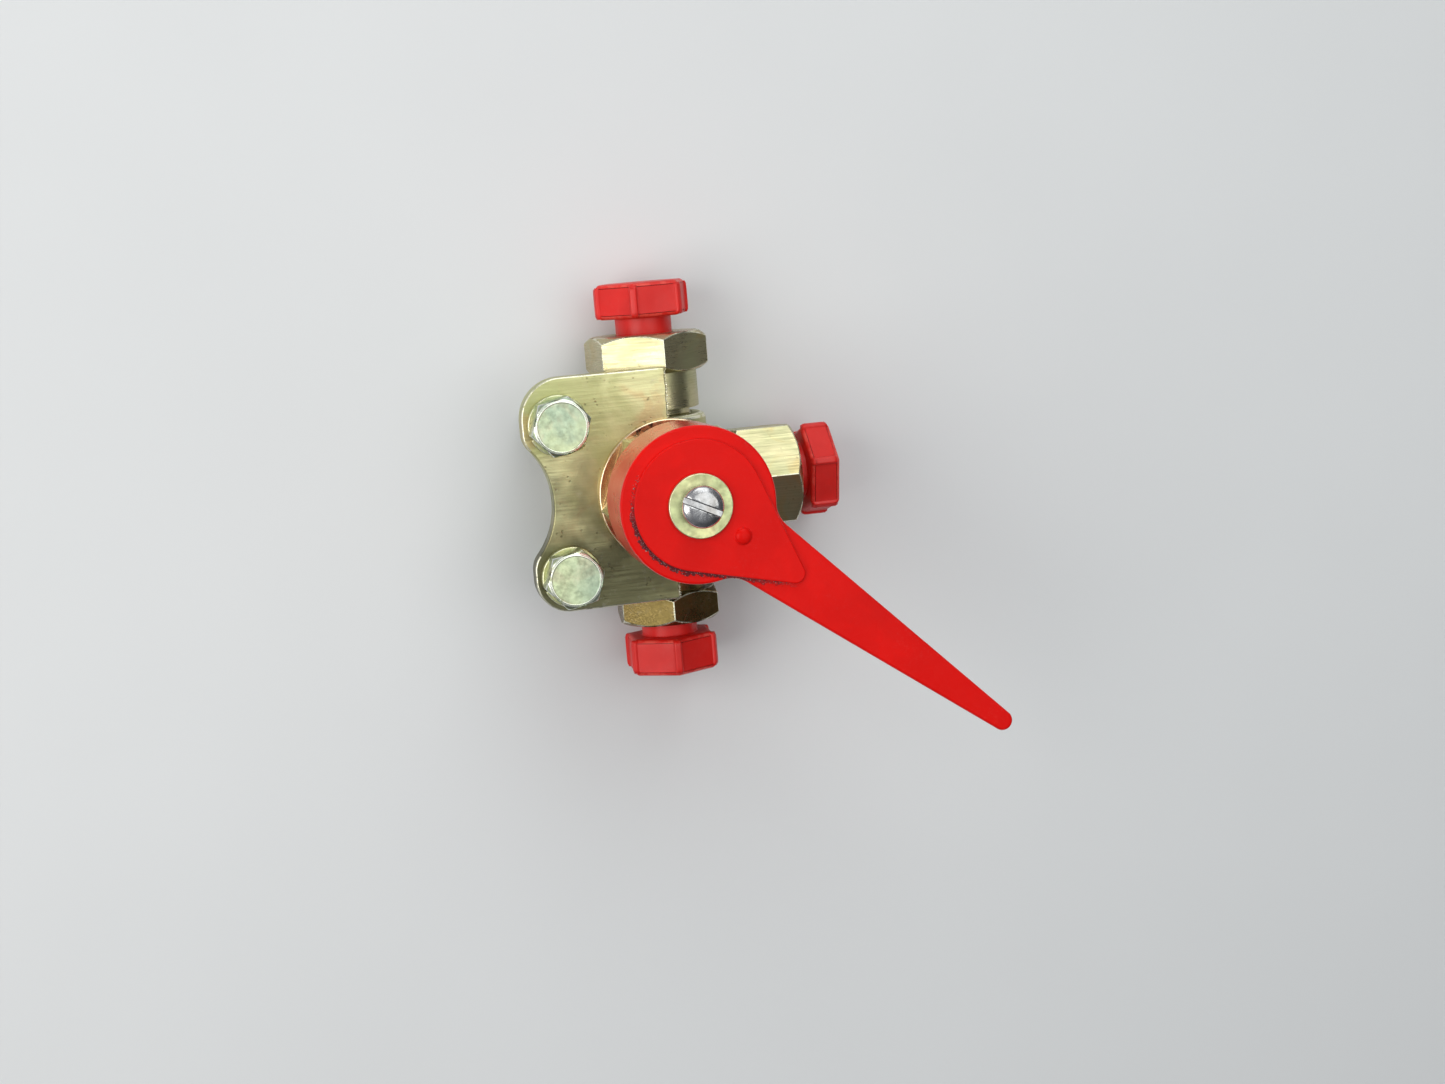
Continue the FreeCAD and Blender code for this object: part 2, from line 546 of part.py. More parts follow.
# --------------------------------------------------------------- ports and seats
def make_adapter(label, flats, hex_turn, hex_start, hex_end, neck_radius, neck_start, turn):
    """Hollow threaded adapter, drawn along +Z with two corners near the X axis."""
    body = new_body(label)
    shank = f"{PORT_THREAD} - Dims.thread_clearance"
    groove = f"{shank} - Dims.adapter_groove_depth"
    groove_end = f"{GROOVE_START} + Dims.adapter_groove_width"
    outside = [("0", ADAPTER_INNER_END), (shank, ADAPTER_INNER_END),
               (shank, GROOVE_START), (groove, GROOVE_START),
               (groove, groove_end), (shank, groove_end), (shank, BOSS_FACE),
               (RELIEF_RADIUS, BOSS_FACE),
               (RELIEF_RADIUS, neck_start), (neck_radius, neck_start),
               (neck_radius, hex_start), ("0", hex_start)]
    if neck_start == hex_start:
        outside = outside[:9] + [("0", hex_start)]
    turned(body, "Revolution", "shank", outside)
    head = hexagon(sketch_on(body, "XY_Plane", "head_outline", hex_start), flats, hex_turn)
    pad(body, head, "head", f"{hex_end} - ({hex_start})")
    chamfer_corners(body, "corner_chamfer", flats, "Dims.hex_chamfer", hex_start, hex_end)
    bore(body, "seat_pocket", SEAT_POCKET, "0", POCKET_END)
    bore(body, "flow_bore", "Dims.ball_bore_radius", "0", hex_end)
    mouth = "Dims.outlet_radius + Dims.outlet_chamfer"
    outlet = [("0", f"{hex_end} - Dims.outlet_depth"),
              ("Dims.outlet_radius", f"{hex_end} - Dims.outlet_depth"),
              ("Dims.outlet_radius", f"{hex_end} - Dims.outlet_chamfer"), (mouth, hex_end), ("0", hex_end)]
    turned(body, "Groove", "outlet_thread", outlet)
    point_along(body, turn)


def point_along(piece, turn):
    """Turn a piece drawn along +Z so that it points along one port axis."""
    lay_down = FreeCAD.Rotation(Y_AXIS, 90)
    aim = FreeCAD.Rotation(Z_AXIS, turn)
    piece.Placement = FreeCAD.Placement(FreeCAD.Vector(), aim.multiply(lay_down))
    place(piece)


def make_adapters():
    """The three adapters; the side and bottom ones have the smaller hexagon."""
    make_adapter("top_adapter", "Dims.top_hex", "Dims.top_hex_turn", TOP_HEX_START, TOP_END,
                 TOP_NECK_RADIUS, TOP_NECK_START, TOP)
    make_adapter("bottom_adapter", "Dims.small_hex", "Dims.bottom_hex_turn",
                 BOTTOM_HEX_START, BOTTOM_END, RELIEF_RADIUS, BOTTOM_HEX_START, BOTTOM)
    make_adapter("side_adapter", "Dims.small_hex", "Dims.side_hex_turn",
                 SIDE_HEX_START, SIDE_END, RELIEF_RADIUS, SIDE_HEX_START, SIDE)


def make_seats():
    """A seat with its O-ring at each port and one behind the ball."""
    for side, turn in (("top", TOP), ("bottom", BOTTOM), ("side", SIDE), ("back", BACK)):
        seat = new_body(f"{side}_seat")
        ring(seat, "ring", "Dims.seat_opening", SEAT_RADIUS, SEAT_FRONT, SEAT_BACK)
        hollow = seat.newObject("PartDesign::SubtractiveSphere", f"{side}_seat_hollow")
        hollow.setExpression("Radius", "Dims.ball_radius + Dims.ball_clearance")
        point_along(seat, turn)

        torus = primitive("Torus", f"{side}_seat_o_ring", Radius2="Dims.seat_ring_section",
                          Radius1=f"{SEAT_POCKET} - Dims.seat_ring_section - Dims.seat_pocket_clearance")
        set_ring(torus, f"{side}_seat_o_ring", turn, f"{SEAT_BACK} + Dims.seat_ring_section")


def make_adapter_rings():
    """O-rings in the grooves of the three adapters."""
    for side, turn in (("top", TOP), ("bottom", BOTTOM), ("side", SIDE)):
        bottom = f"{PORT_THREAD} - Dims.thread_clearance - Dims.adapter_groove_depth"
        torus = primitive("Torus", f"{side}_adapter_o_ring", Radius2="Dims.adapter_ring_section",
                          Radius1=f"{bottom} + Dims.adapter_ring_section")
        set_ring(torus, f"{side}_adapter_o_ring", turn,
                 f"{GROOVE_START} + Dims.adapter_groove_width / 2")


def set_ring(torus, label, turn, along):
    """Put an O-ring on a port axis at a distance from the valve centre."""
    solid_of(label, torus)
    point_along(torus, turn)
    toward_x = round(math.cos(math.radians(turn)))
    toward_y = round(math.sin(math.radians(turn)))
    torus.setExpression(".Placement.Base.x", f"{CENTRE_X} + {toward_x} * ({along})")
    torus.setExpression(".Placement.Base.y", f"{CENTRE_Y} + {toward_y} * ({along})")


# ------------------------------------------------------------------ bonnet group
def make_bonnet():
    """Sealing ring, bonnet, stop pin and the thrust washer below the bonnet."""
    seal = new_body("bonnet_seal_ring")
    opening = f"{BONNET_THREAD} + Dims.bonnet_ring_gap"
    ring(seal, "ring", opening, BONNET_CORNER, "Dims.flange_top", BONNET_SEAT)
    place(seal)

    bonnet = new_body("bonnet")
    head = hexagon(sketch_on(bonnet, "XY_Plane", "hexagon_outline", BONNET_SEAT),
                   BONNET_HEX, "Dims.bonnet_hex_turn")
    pad(bonnet, head, "hexagon", "Dims.bonnet_hex_height")
    chamfer_corners(bonnet, "corner_chamfer", BONNET_HEX, "Dims.hex_chamfer", None, BONNET_TOP)
    ring(bonnet, "shank", STEM_BORE, BONNET_THREAD,
         BONNET_BOTTOM, BONNET_SEAT)
    ring(bonnet, "neck", STEM_BORE, NECK_RADIUS,
         BONNET_TOP, NECK_TOP)
    bore(bonnet, "stem_bore", STEM_BORE, BONNET_BOTTOM, NECK_TOP)
    floor = f"{BONNET_TOP} - Dims.pin_depth"
    hole = circle(sketch_on(bonnet, "XY_Plane", "pin_hole_outline", BONNET_TOP),
                  "Dims.pin_radius", f"-{PIN_CIRCLE}", "0")
    made = feature(bonnet, "Pocket", hole, "pin_hole")
    made.setExpression("Length", "Dims.pin_depth")
    place(bonnet)

    pin = primitive("Cylinder", "stop_pin", Radius="Dims.pin_radius",
                    Height="Dims.pin_depth + Dims.pin_height")
    solid_of("stop_pin", pin)
    place(pin, x=f"(-{PIN_CIRCLE})", z=f"({floor})")

    washer = new_body("stem_thrust_washer")
    ring(washer, "ring", STEM_BORE, COLLAR_RADIUS,
         WASHER_FLOOR, BONNET_BOTTOM)
    place(washer)


# ------------------------------------------------------------------- lever group
REST_TURN = "-Dims.rest_angle"


def make_ball():
    """Ball with two bores that meet at a right angle, and a slot for the stem."""
    sphere = primitive("Sphere", "ball_sphere", Radius="Dims.ball_radius")
    reach = "Dims.ball_radius + 1"
    along = primitive("Cylinder", "ball_bore_ahead", Radius="Dims.ball_bore_radius", Height=reach)
    along.Placement = FreeCAD.Placement(FreeCAD.Vector(), FreeCAD.Rotation(Y_AXIS, 90))
    across = primitive("Cylinder", "ball_bore_across", Radius="Dims.ball_bore_radius", Height=reach)
    across.Placement = FreeCAD.Placement(FreeCAD.Vector(), FreeCAD.Rotation(X_AXIS, -90))
    elbow = primitive("Sphere", "ball_elbow", Radius="Dims.ball_bore_radius")
    width = "Dims.tang_width + 2 * Dims.tang_clearance"
    slot = primitive("Box", "ball_slot", Length="2 * Dims.ball_radius", Width=width,
                     Height="Dims.ball_radius")
    slot.setExpression(".Placement.Base.x", "-Dims.ball_radius")
    slot.setExpression(".Placement.Base.y", f"-({width}) / 2")
    slot.setExpression(".Placement.Base.z", f"{TANG_BOTTOM} - 2 * Dims.tang_clearance")
    tools = doc.addObject("Part::MultiFuse", "ball_cuts")
    tools.Shapes = [along, across, elbow, slot]
    ball = solid_of("ball", cut("ball", sphere, tools))
    place(ball, turn=REST_TURN)


def make_stem():
    """Stem with its blade, thrust collar, O-ring grooves and square end."""
    stem = new_body("stem")
    radius = "Dims.stem_radius"
    bottom = f"{radius} - 2 * Dims.stem_ring_section"
    outline = [("0", COLLAR_BOTTOM), (COLLAR_RADIUS, COLLAR_BOTTOM),
               (COLLAR_RADIUS, WASHER_FLOOR), (radius, WASHER_FLOOR)]
    for start in (LOW_GROOVE, HIGH_GROOVE):
        end = f"{start} + Dims.stem_groove_width"
        outline += [(radius, start), (bottom, start), (bottom, end), (radius, end)]
    outline += [(radius, SQUARE_START), ("0", SQUARE_START)]
    turned(stem, "Revolution", "shaft", outline)
    half = "Dims.tang_width / 2"
    blade = rectangle(sketch_on(stem, "XY_Plane", "blade_outline", TANG_BOTTOM),
                      "-Dims.tang_length / 2", "Dims.tang_length / 2", f"-{half}", half)
    pad(stem, blade, "blade", f"{COLLAR_BOTTOM} - {TANG_BOTTOM}")
    half = f"{STEM_SQUARE} / 2"
    square = rectangle(sketch_on(stem, "XY_Plane", "square_outline", SQUARE_START),
                       f"-{half}", half, f"-{half}", half)
    pad(stem, square, "square_end", f"{STEM_TOP} - {SQUARE_START}")
    screw_end = f"{HEAD_SEAT} - Dims.screw_length"
    bore(stem, "screw_hole", "Dims.screw_radius", f"{screw_end} - Dims.screw_hole_margin", STEM_TOP)
    place(stem, turn=REST_TURN)

    for label, start in (("lower_stem_o_ring", LOW_GROOVE), ("upper_stem_o_ring", HIGH_GROOVE)):
        torus = primitive("Torus", label, Radius2="Dims.stem_ring_section",
                          Radius1=f"{radius} - Dims.stem_ring_section")
        solid_of(label, torus)
        place(torus, z=f"({start} + Dims.stem_groove_width / 2)")


def tapered_outline(sketch, hub, fillet, tip, tip_centre, half_angle):
    """Hub circle run into a tapering arm with a round tip, through concave fillets."""
    hub_r, fil_r, tip_r, far = (size(e) for e in (hub, fillet, tip, tip_centre))
    slope = math.radians(size(half_angle))
    normal = FreeCAD.Vector(math.sin(slope), math.cos(slope), 0)
    heading = FreeCAD.Vector(-math.cos(slope), math.sin(slope), 0)
    tip_middle = FreeCAD.Vector(far, 0, 0)
    tip_touch = tip_middle + normal * tip_r
    # the fillet's centre is a fillet radius above the arm's side and clear of the hub
    start = tip_touch + normal * fil_r
    reach = hub_r + fil_r
    along = -start.dot(heading) - math.sqrt(start.dot(heading) ** 2 - start.Length ** 2 + reach ** 2)
    middle = start + heading * along
    line_end = middle - normal * fil_r
    hub_touch = middle * (hub_r / reach)

    def mirrored(point):
        return FreeCAD.Vector(point.x, -point.y, 0)

    hub_back = FreeCAD.Vector(-hub_r, 0, 0)
    shoulder = (hub_touch - middle) + (line_end - middle)
    shoulder.normalize()
    shoulder_middle = middle + shoulder * fil_r
    tip_end = FreeCAD.Vector(far + tip_r, 0, 0)
    hub_arc, upper_fillet, upper_line, tip_arc, lower_line, lower_fillet = range(6)
    sketch.addGeometry(Part.Arc(hub_touch, hub_back, mirrored(hub_touch)), False)
    sketch.addGeometry(Part.Arc(hub_touch, shoulder_middle, line_end), False)
    sketch.addGeometry(Part.LineSegment(line_end, tip_touch), False)
    sketch.addGeometry(Part.Arc(mirrored(tip_touch), tip_end, tip_touch), False)
    sketch.addGeometry(Part.LineSegment(mirrored(line_end), mirrored(tip_touch)), False)
    sketch.addGeometry(Part.Arc(mirrored(hub_touch), mirrored(shoulder_middle), mirrored(line_end)), False)
    join_smoothly(sketch, [(hub_arc, upper_fillet), (upper_fillet, upper_line), (upper_line, tip_arc),
                           (tip_arc, lower_line), (lower_line, lower_fillet), (lower_fillet, hub_arc)])
    hold_radius(sketch, hub_arc, hub)
    hold_radius(sketch, upper_fillet, fillet)
    hold_radius(sketch, lower_fillet, fillet)
    hold_radius(sketch, tip_arc, tip)
    pin_point(sketch, hub_arc, 3, "0", "0")
    pin_point(sketch, tip_arc, 3, tip_centre, "0")
    for line, sign in ((upper_line, "-"), (lower_line, "")):
        angle = size(f"{sign}{half_angle}")
        constraint = Sketcher.Constraint("Angle", ON_H_AXIS, line, math.radians(angle))
        index = sketch.addConstraint(constraint)
        sketch.setExpression(f"Constraints[{index}]", f"{sign}{half_angle}")
    return sketch


def join_smoothly(sketch, pairs):
    """Join the ends that two curves share, tangent to each other."""
    for first, second in pairs:
        ends = [(a, b) for a in (1, 2) for b in (1, 2)
                if (sketch.getPoint(first, a) - sketch.getPoint(second, b)).Length < 1e-4]
        first_end, second_end = ends[0]
        sketch.addConstraint(Sketcher.Constraint("Tangent", first, first_end, second, second_end))


def hold_radius(sketch, arc, radius):
    """Bind an arc's radius to an expression."""
    index = sketch.addConstraint(Sketcher.Constraint("Radius", arc, size(radius)))
    sketch.setExpression(f"Constraints[{index}]", radius)


def teardrop_outline(sketch, hub, tip, tip_centre):
    """Two circles joined by their outer tangents."""
    hub_r, tip_r, far = (size(e) for e in (hub, tip, tip_centre))
    lean = math.asin((hub_r - tip_r) / far)
    normal = FreeCAD.Vector(math.sin(lean), math.cos(lean), 0)
    below = FreeCAD.Vector(normal.x, -normal.y, 0)
    middle = FreeCAD.Vector(far, 0, 0)
    big_arc, upper_line, tip_arc, lower_line = range(4)
    sketch.addGeometry(Part.Arc(normal * hub_r, FreeCAD.Vector(-hub_r, 0, 0), below * hub_r), False)
    sketch.addGeometry(Part.LineSegment(normal * hub_r, middle + normal * tip_r), False)
    sketch.addGeometry(Part.Arc(middle + below * tip_r, FreeCAD.Vector(far + tip_r, 0, 0),
                                middle + normal * tip_r), False)
    sketch.addGeometry(Part.LineSegment(below * hub_r, middle + below * tip_r), False)
    join_smoothly(sketch, [(big_arc, upper_line), (upper_line, tip_arc),
                           (tip_arc, lower_line), (lower_line, big_arc)])
    hold_radius(sketch, big_arc, hub)
    hold_radius(sketch, tip_arc, tip)
    pin_point(sketch, big_arc, 3, "0", "0")
    pin_point(sketch, tip_arc, 3, tip_centre, "0")
    return sketch


def make_lever():
    """Deep cup with a hub, two stop ribs, a tapering arm, a teardrop boss and a dot."""
    lever = new_body("lever")
    radius = CUP_RADIUS
    cavity = f"{radius} - Dims.lever_wall"
    ceiling = "Dims.lever_top - Dims.lever_ceiling"
    hub_end = f"{NECK_TOP} + Dims.lever_hub_gap"
    cup = [("0", hub_end), (HUB_RADIUS, hub_end), (HUB_RADIUS, ceiling),
           (cavity, ceiling), (cavity, CUP_RIM), (radius, CUP_RIM), (radius, "Dims.lever_top"),
           ("0", "Dims.lever_top")]
    turned(lever, "Revolution", "cup", cup)
    plate = "Dims.lever_top - Dims.arm_thickness"
    tip_centre = "Dims.arm_reach - Dims.arm_tip_radius"
    arm = tapered_outline(sketch_on(lever, "XY_Plane", "arm_outline", plate), radius,
                          "Dims.arm_root_round", "Dims.arm_tip_radius", tip_centre, "Dims.arm_half_angle")
    pad(lever, arm, "arm", "Dims.arm_thickness")
    top_height = size("Dims.lever_top")
    round_edges(lever, "upper_edge_round", "Dims.lever_edge_round",
                lambda edge: all(abs(v.Point.z - top_height) < 1e-3 for v in edge.Vertexes))
    swing = f"asin((Dims.rib_thickness / 2 + Dims.pin_radius + Dims.stop_clearance) / {PIN_CIRCLE})"
    rib_floor = f"{BONNET_TOP} + Dims.rib_gap"
    half = "Dims.rib_thickness / 2"
    for name, turn in (("first_rib", f"180 deg - {swing}"), ("second_rib", f"270 deg + {swing}")):
        inner = f"{PIN_CIRCLE} - Dims.pin_radius - Dims.rib_gap / 2"
        outline = rectangle(sketch_on(lever, "XY_Plane", f"{name}_outline", rib_floor, turn),
                            inner, f"{cavity} + Dims.lever_wall / 2", f"-{half}", half)
        pad(lever, outline, name, f"{ceiling} - ({rib_floor}) + Dims.rib_gap / 2")
    drop = teardrop_outline(sketch_on(lever, "XY_Plane", "teardrop_outline", "Dims.lever_top"),
                            TEARDROP_RADIUS, "Dims.teardrop_tip_radius", TEARDROP_TIP)
    pad(lever, drop, "teardrop", "Dims.boss_height")
    dot = circle(sketch_on(lever, "XY_Plane", "dot_outline", BOSS_TOP),
                 "Dims.dot_radius", "Dims.dot_offset", "0")
    pad(lever, dot, "dot", "Dims.dot_height")
    half = f"{STEM_SQUARE} / 2 + Dims.square_clearance"
    square = rectangle(sketch_on(lever, "XY_Plane", "square_hole_outline", BOSS_TOP),
                       f"-({half})", half, f"-({half})", half)
    hole = feature(lever, "Pocket", square, "square_hole")
    hole.setExpression("Length", f"{BOSS_TOP} - ({hub_end})")
    place(lever, turn=REST_TURN)


def make_lever_fasteners():
    """Washer and slotted pan head screw that hold the lever on the stem."""
    washer = new_body("lever_washer")
    opening = "Dims.screw_radius + Dims.washer_hole_gap"
    ring(washer, "ring", opening, "Dims.lever_washer_radius", BOSS_TOP, HEAD_SEAT)
    place(washer, turn=REST_TURN)

    screw = new_body("lever_screw")
    head_top = f"{HEAD_SEAT} + Dims.screw_head_height"
    wall_top = f"{head_top} - Dims.screw_crown_height"
    shank_end = f"{HEAD_SEAT} - Dims.screw_length"
    shank = "Dims.screw_radius - Dims.thread_clearance"
    crown = []
    for share in ("Dims.screw_crown_wide", "Dims.screw_crown_narrow"):
        rise = f"Dims.screw_crown_height * sqrt(1 - {share} * {share})"
        crown.append((f"Dims.screw_head_radius * {share}", f"{wall_top} + {rise}"))
    outline = [("0", shank_end), (shank, shank_end), (shank, HEAD_SEAT),
               ("Dims.screw_head_radius", HEAD_SEAT), ("Dims.screw_head_radius", wall_top)]
    turned(screw, "Revolution", "blank", outline + crown + [("0", head_top)])
    half = "Dims.screw_slot_width / 2"
    slot = rectangle(sketch_on(screw, "XY_Plane", "slot_outline", head_top, "Dims.screw_slot_turn"),
                     "-Dims.screw_head_radius - 1", "Dims.screw_head_radius + 1", f"-{half}", half)
    made = feature(screw, "Pocket", slot, "slot")
    made.setExpression("Length", "Dims.screw_slot_depth")
    place(screw, turn=REST_TURN)


# -------------------------------------------------------------- mounting bolts
def pair_of(label, one):
    """The upper and the lower bolt position as one node of two solids."""
    half = "Dims.bolt_spacing / 2"
    copies = []
    for side, sign in (("upper", "+"), ("lower", "-")):
        copy = doc.addObject("Part::Feature", f"{label}_{side}")
        copy.Shape = one.Shape
        shift = f"{BOLT_MIDDLE_Y} {sign} {half}"
        copy.Placement = FreeCAD.Placement(FreeCAD.Vector(-size("Dims.bolt_offset"), size(shift), 0),
                                           FreeCAD.Rotation())
        copies.append(copy)
    group = doc.addObject("Part::Compound", label)
    group.Links = copies
    solid_of(label, group)
    place(group)


def spare_body(label):
    """A body that is only copied from, not a node of its own."""
    body = new_body(label)
    nodes.remove(body)
    return body


def make_mounting_bolts():
    """Two bolts with spring washers on the flange and nuts below it."""
    bolt = spare_body("one_bolt")
    head_top = f"{BOLT_SEAT} + Dims.bolt_head_height"
    end = f"{BOLT_SEAT} - Dims.bolt_length"
    tip = "Dims.bolt_radius - Dims.bolt_end_chamfer"
    outline = [("0", end), (tip, end), ("Dims.bolt_radius", f"{end} + Dims.bolt_end_chamfer"),
               ("Dims.bolt_radius", NUT_BOTTOM), ("Dims.bolt_shank_radius", NUT_BOTTOM),
               ("Dims.bolt_shank_radius", BOLT_SEAT), ("0", BOLT_SEAT)]
    turned(bolt, "Revolution", "shank", outline)
    head = hexagon(sketch_on(bolt, "XY_Plane", "head_outline", BOLT_SEAT),
                   "Dims.bolt_hex", "Dims.bolt_head_turn")
    pad(bolt, head, "head", "Dims.bolt_head_height")
    chamfer_corners(bolt, "corner_chamfer", "Dims.bolt_hex", "Dims.bolt_head_chamfer", None, head_top)

    nut = spare_body("one_nut")
    outline = hexagon(sketch_on(nut, "XY_Plane", "outline", NUT_BOTTOM), "Dims.bolt_hex", "Dims.nut_turn")
    pad(nut, outline, "blank", "Dims.nut_height")
    top = f"{NUT_BOTTOM} + Dims.nut_height"
    chamfer_corners(nut, "corner_chamfer", "Dims.bolt_hex", "Dims.bolt_head_chamfer", NUT_BOTTOM, top)
    bore(nut, "thread", "Dims.bolt_shank_radius + Dims.thread_clearance", NUT_BOTTOM, top)

    washer = spare_body("one_spring_washer")
    opening = "Dims.bolt_radius + Dims.spring_washer_room"
    ring(washer, "ring", opening, "Dims.spring_washer_radius", "Dims.flange_top", BOLT_SEAT)
    half = "Dims.spring_washer_split / 2"
    split = rectangle(sketch_on(washer, "XY_Plane", "split_outline", BOLT_SEAT,
                                "Dims.spring_washer_turn"),
                      "0", "Dims.spring_washer_radius + 1", f"-{half}", half)
    made = feature(washer, "Pocket", split, "split")
    made.setExpression("Length", "Dims.spring_washer_height")
    doc.recompute()
    pair_of("flange_bolts", bolt)
    pair_of("flange_nuts", nut)
    pair_of("spring_washers", washer)


# ------------------------------------------------------------------------ plugs
def make_plug(label, adapter_end, gap, head, roll, turn):
    """Hollow moulded plug with a ribbed hexagon head, drawn along +Z."""
    plug = new_body(label)
    start = f"({adapter_end} + {gap})"
    end = f"({start} + {head})"
    inner_end = f"({adapter_end} - {PLUG_LENGTH_IN})"
    ring(plug, "shank", PLUG_BORE, PLUG_SHANK, inner_end, start)
    outline = hexagon(sketch_on(plug, "XY_Plane", "head_outline", start), "Dims.plug_hex", roll)
    pad(plug, outline, "head", head)
    rounded = plug_edges(size(start), size(end))
    round_edges(plug, "edge_rounds", "Dims.plug_edge_round", rounded)
    for step in range(6):
        angle = f"({60 * step} + {roll})"
        out = "(Dims.plug_hex / 2 / cos(30) - Dims.plug_rib_inset)"
        rib = circle(sketch_on(plug, "XY_Plane", f"rib_{step}_outline", f"{start} + Dims.plug_edge_round"),
                     "Dims.plug_rib_radius", f"{out} * cos({angle})", f"{out} * sin({angle})")
        pad(plug, rib, f"rib_{step}", f"{head} - 2 * Dims.plug_edge_round")
    bore(plug, "hollow", PLUG_BORE, inner_end, f"{end} - Dims.plug_wall")
    point_along(plug, turn)


def plug_edges(low, high):
    """Test for the outer edges of a plug's head: its corners and both rims."""
    def test(edge):
        heights = [v.Point.z for v in edge.Vertexes]
        if len(heights) != 2:
            return False
        at_rim = all(abs(z - low) < 1e-3 for z in heights) or all(abs(z - high) < 1e-3 for z in heights)
        outside = all(math.hypot(v.Point.x, v.Point.y) > size("Dims.plug_hex") / 2 for v in edge.Vertexes)
        upright = abs(heights[0] - heights[1]) > abs(high - low) / 2
        return outside and (at_rim or upright)

    return test


def make_plugs():
    """One plug in the outer end of each adapter."""
    make_plug("top_plug", TOP_END, "Dims.top_plug_gap", "Dims.top_plug_head", "Dims.top_plug_turn", TOP)
    make_plug("bottom_plug", BOTTOM_END, "Dims.bottom_plug_gap", "Dims.bottom_plug_head",
              "Dims.bottom_plug_turn", BOTTOM)
    make_plug("side_plug", SIDE_END, "Dims.side_plug_gap", "Dims.side_plug_head",
              "Dims.side_plug_turn", SIDE)


# ----------------------------------------------------------------------- output
def check_document():
    """Stop if any object failed or any piece isn't a closed valid solid."""
    doc.recompute()
    for item in doc.Objects:
        if "Invalid" in item.State or "Error" in item.State:
            raise RuntimeError(f"{item.Name} failed: {item.State}")
    for piece in nodes:
        shape = piece.Shape
        if shape.isNull() or not shape.isValid() or not shape.Solids:
            raise RuntimeError(f"{piece.Label} has no valid solid")


def write_parts():
    """Write one STEP file for each piece."""
    os.makedirs("parts", exist_ok=True)
    for piece in nodes:
        piece.Shape.exportStep(os.path.join("parts", f"{piece.Label}.step"))
        print(f"{piece.Label}: {len(piece.Shape.Solids)} solid, {piece.Shape.Volume:.1f} mm3")


sheet = fill_sheet()
make_valve_body()
make_adapters()
make_seats()
make_adapter_rings()
make_bonnet()
make_ball()
make_stem()
make_lever()
make_lever_fasteners()
make_mounting_bolts()
make_plugs()
check_document()
write_parts()
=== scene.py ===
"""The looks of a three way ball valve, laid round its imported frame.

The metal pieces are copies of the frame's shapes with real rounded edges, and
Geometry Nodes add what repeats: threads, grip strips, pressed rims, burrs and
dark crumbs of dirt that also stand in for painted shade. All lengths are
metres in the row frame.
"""
import json
import math

import bmesh
import bpy
from mathutils import Matrix, Vector, noise


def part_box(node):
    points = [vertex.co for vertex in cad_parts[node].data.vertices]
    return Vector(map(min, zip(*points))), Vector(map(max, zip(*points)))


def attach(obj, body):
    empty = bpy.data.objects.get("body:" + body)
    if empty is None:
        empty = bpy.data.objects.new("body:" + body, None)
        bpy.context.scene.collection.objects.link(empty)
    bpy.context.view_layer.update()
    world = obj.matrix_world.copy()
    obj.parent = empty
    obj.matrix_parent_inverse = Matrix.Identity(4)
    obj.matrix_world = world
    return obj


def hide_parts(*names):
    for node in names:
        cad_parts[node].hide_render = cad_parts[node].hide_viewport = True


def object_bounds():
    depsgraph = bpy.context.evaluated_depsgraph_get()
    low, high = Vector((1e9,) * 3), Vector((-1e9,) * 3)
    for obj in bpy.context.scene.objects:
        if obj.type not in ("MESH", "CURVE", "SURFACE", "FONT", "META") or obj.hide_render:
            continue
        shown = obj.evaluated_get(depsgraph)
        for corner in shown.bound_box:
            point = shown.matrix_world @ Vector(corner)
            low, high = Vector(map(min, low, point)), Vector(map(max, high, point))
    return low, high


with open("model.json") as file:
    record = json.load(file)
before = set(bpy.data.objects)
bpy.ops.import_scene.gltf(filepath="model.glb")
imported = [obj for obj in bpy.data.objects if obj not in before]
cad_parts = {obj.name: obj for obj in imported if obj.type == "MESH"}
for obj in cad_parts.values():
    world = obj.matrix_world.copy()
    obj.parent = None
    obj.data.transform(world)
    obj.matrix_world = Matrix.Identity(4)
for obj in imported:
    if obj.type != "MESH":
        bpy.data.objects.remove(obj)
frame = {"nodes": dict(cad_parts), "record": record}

bl_info = {
    "name": "Three way ball valve",
    "version": (1, 0, 0),
    "blender": (4, 5, 0),
    "location": "View3D > Sidebar > Valve",
    "description": "Builds the finished look of a three way ball valve round its frame",
    "category": "Object",
}

CAD_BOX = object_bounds()
MM = 0.001
# Points nearer than this are joined.
WELD = 1e-6
# Play allowed where points at a height are looked for.
HAIR = 0.01 * MM


# ------------------------------------------------------------ places from the frame
def middle(node):
    low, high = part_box(node)
    return (low + high) / 2


def mount(name):
    """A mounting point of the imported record."""
    return next(m for m in frame["record"]["mounts"] if m["name"] == name)


CENTRE = middle("ball")
FLANGE_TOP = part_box("valve_body")[1].z
BOLT_REACH = mount("mounting_studs")["dims"]["pcd_mm"] / 2 * MM
BOLT_PLACES = (Vector((0, BOLT_REACH, 0)), Vector((0, -BOLT_REACH, 0)))
LEVER_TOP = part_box("lever_washer")[0].z
PORTS = {
    "top": Vector((0, 1, 0)),
    "bottom": Vector((0, -1, 0)),
    "side": Vector((1, 0, 0)),
}


# ------------------------------------------------------------------ sizes and colours
def length(name, description, default):
    return bpy.props.FloatProperty(name=name, description=description, default=default,
                                   min=0.0, precision=5, subtype="DISTANCE", unit="LENGTH")


def colour(name, description, default):
    return bpy.props.FloatVectorProperty(name=name, description=description, default=default,
                                         size=3, min=0.0, max=1.0, subtype="COLOR")


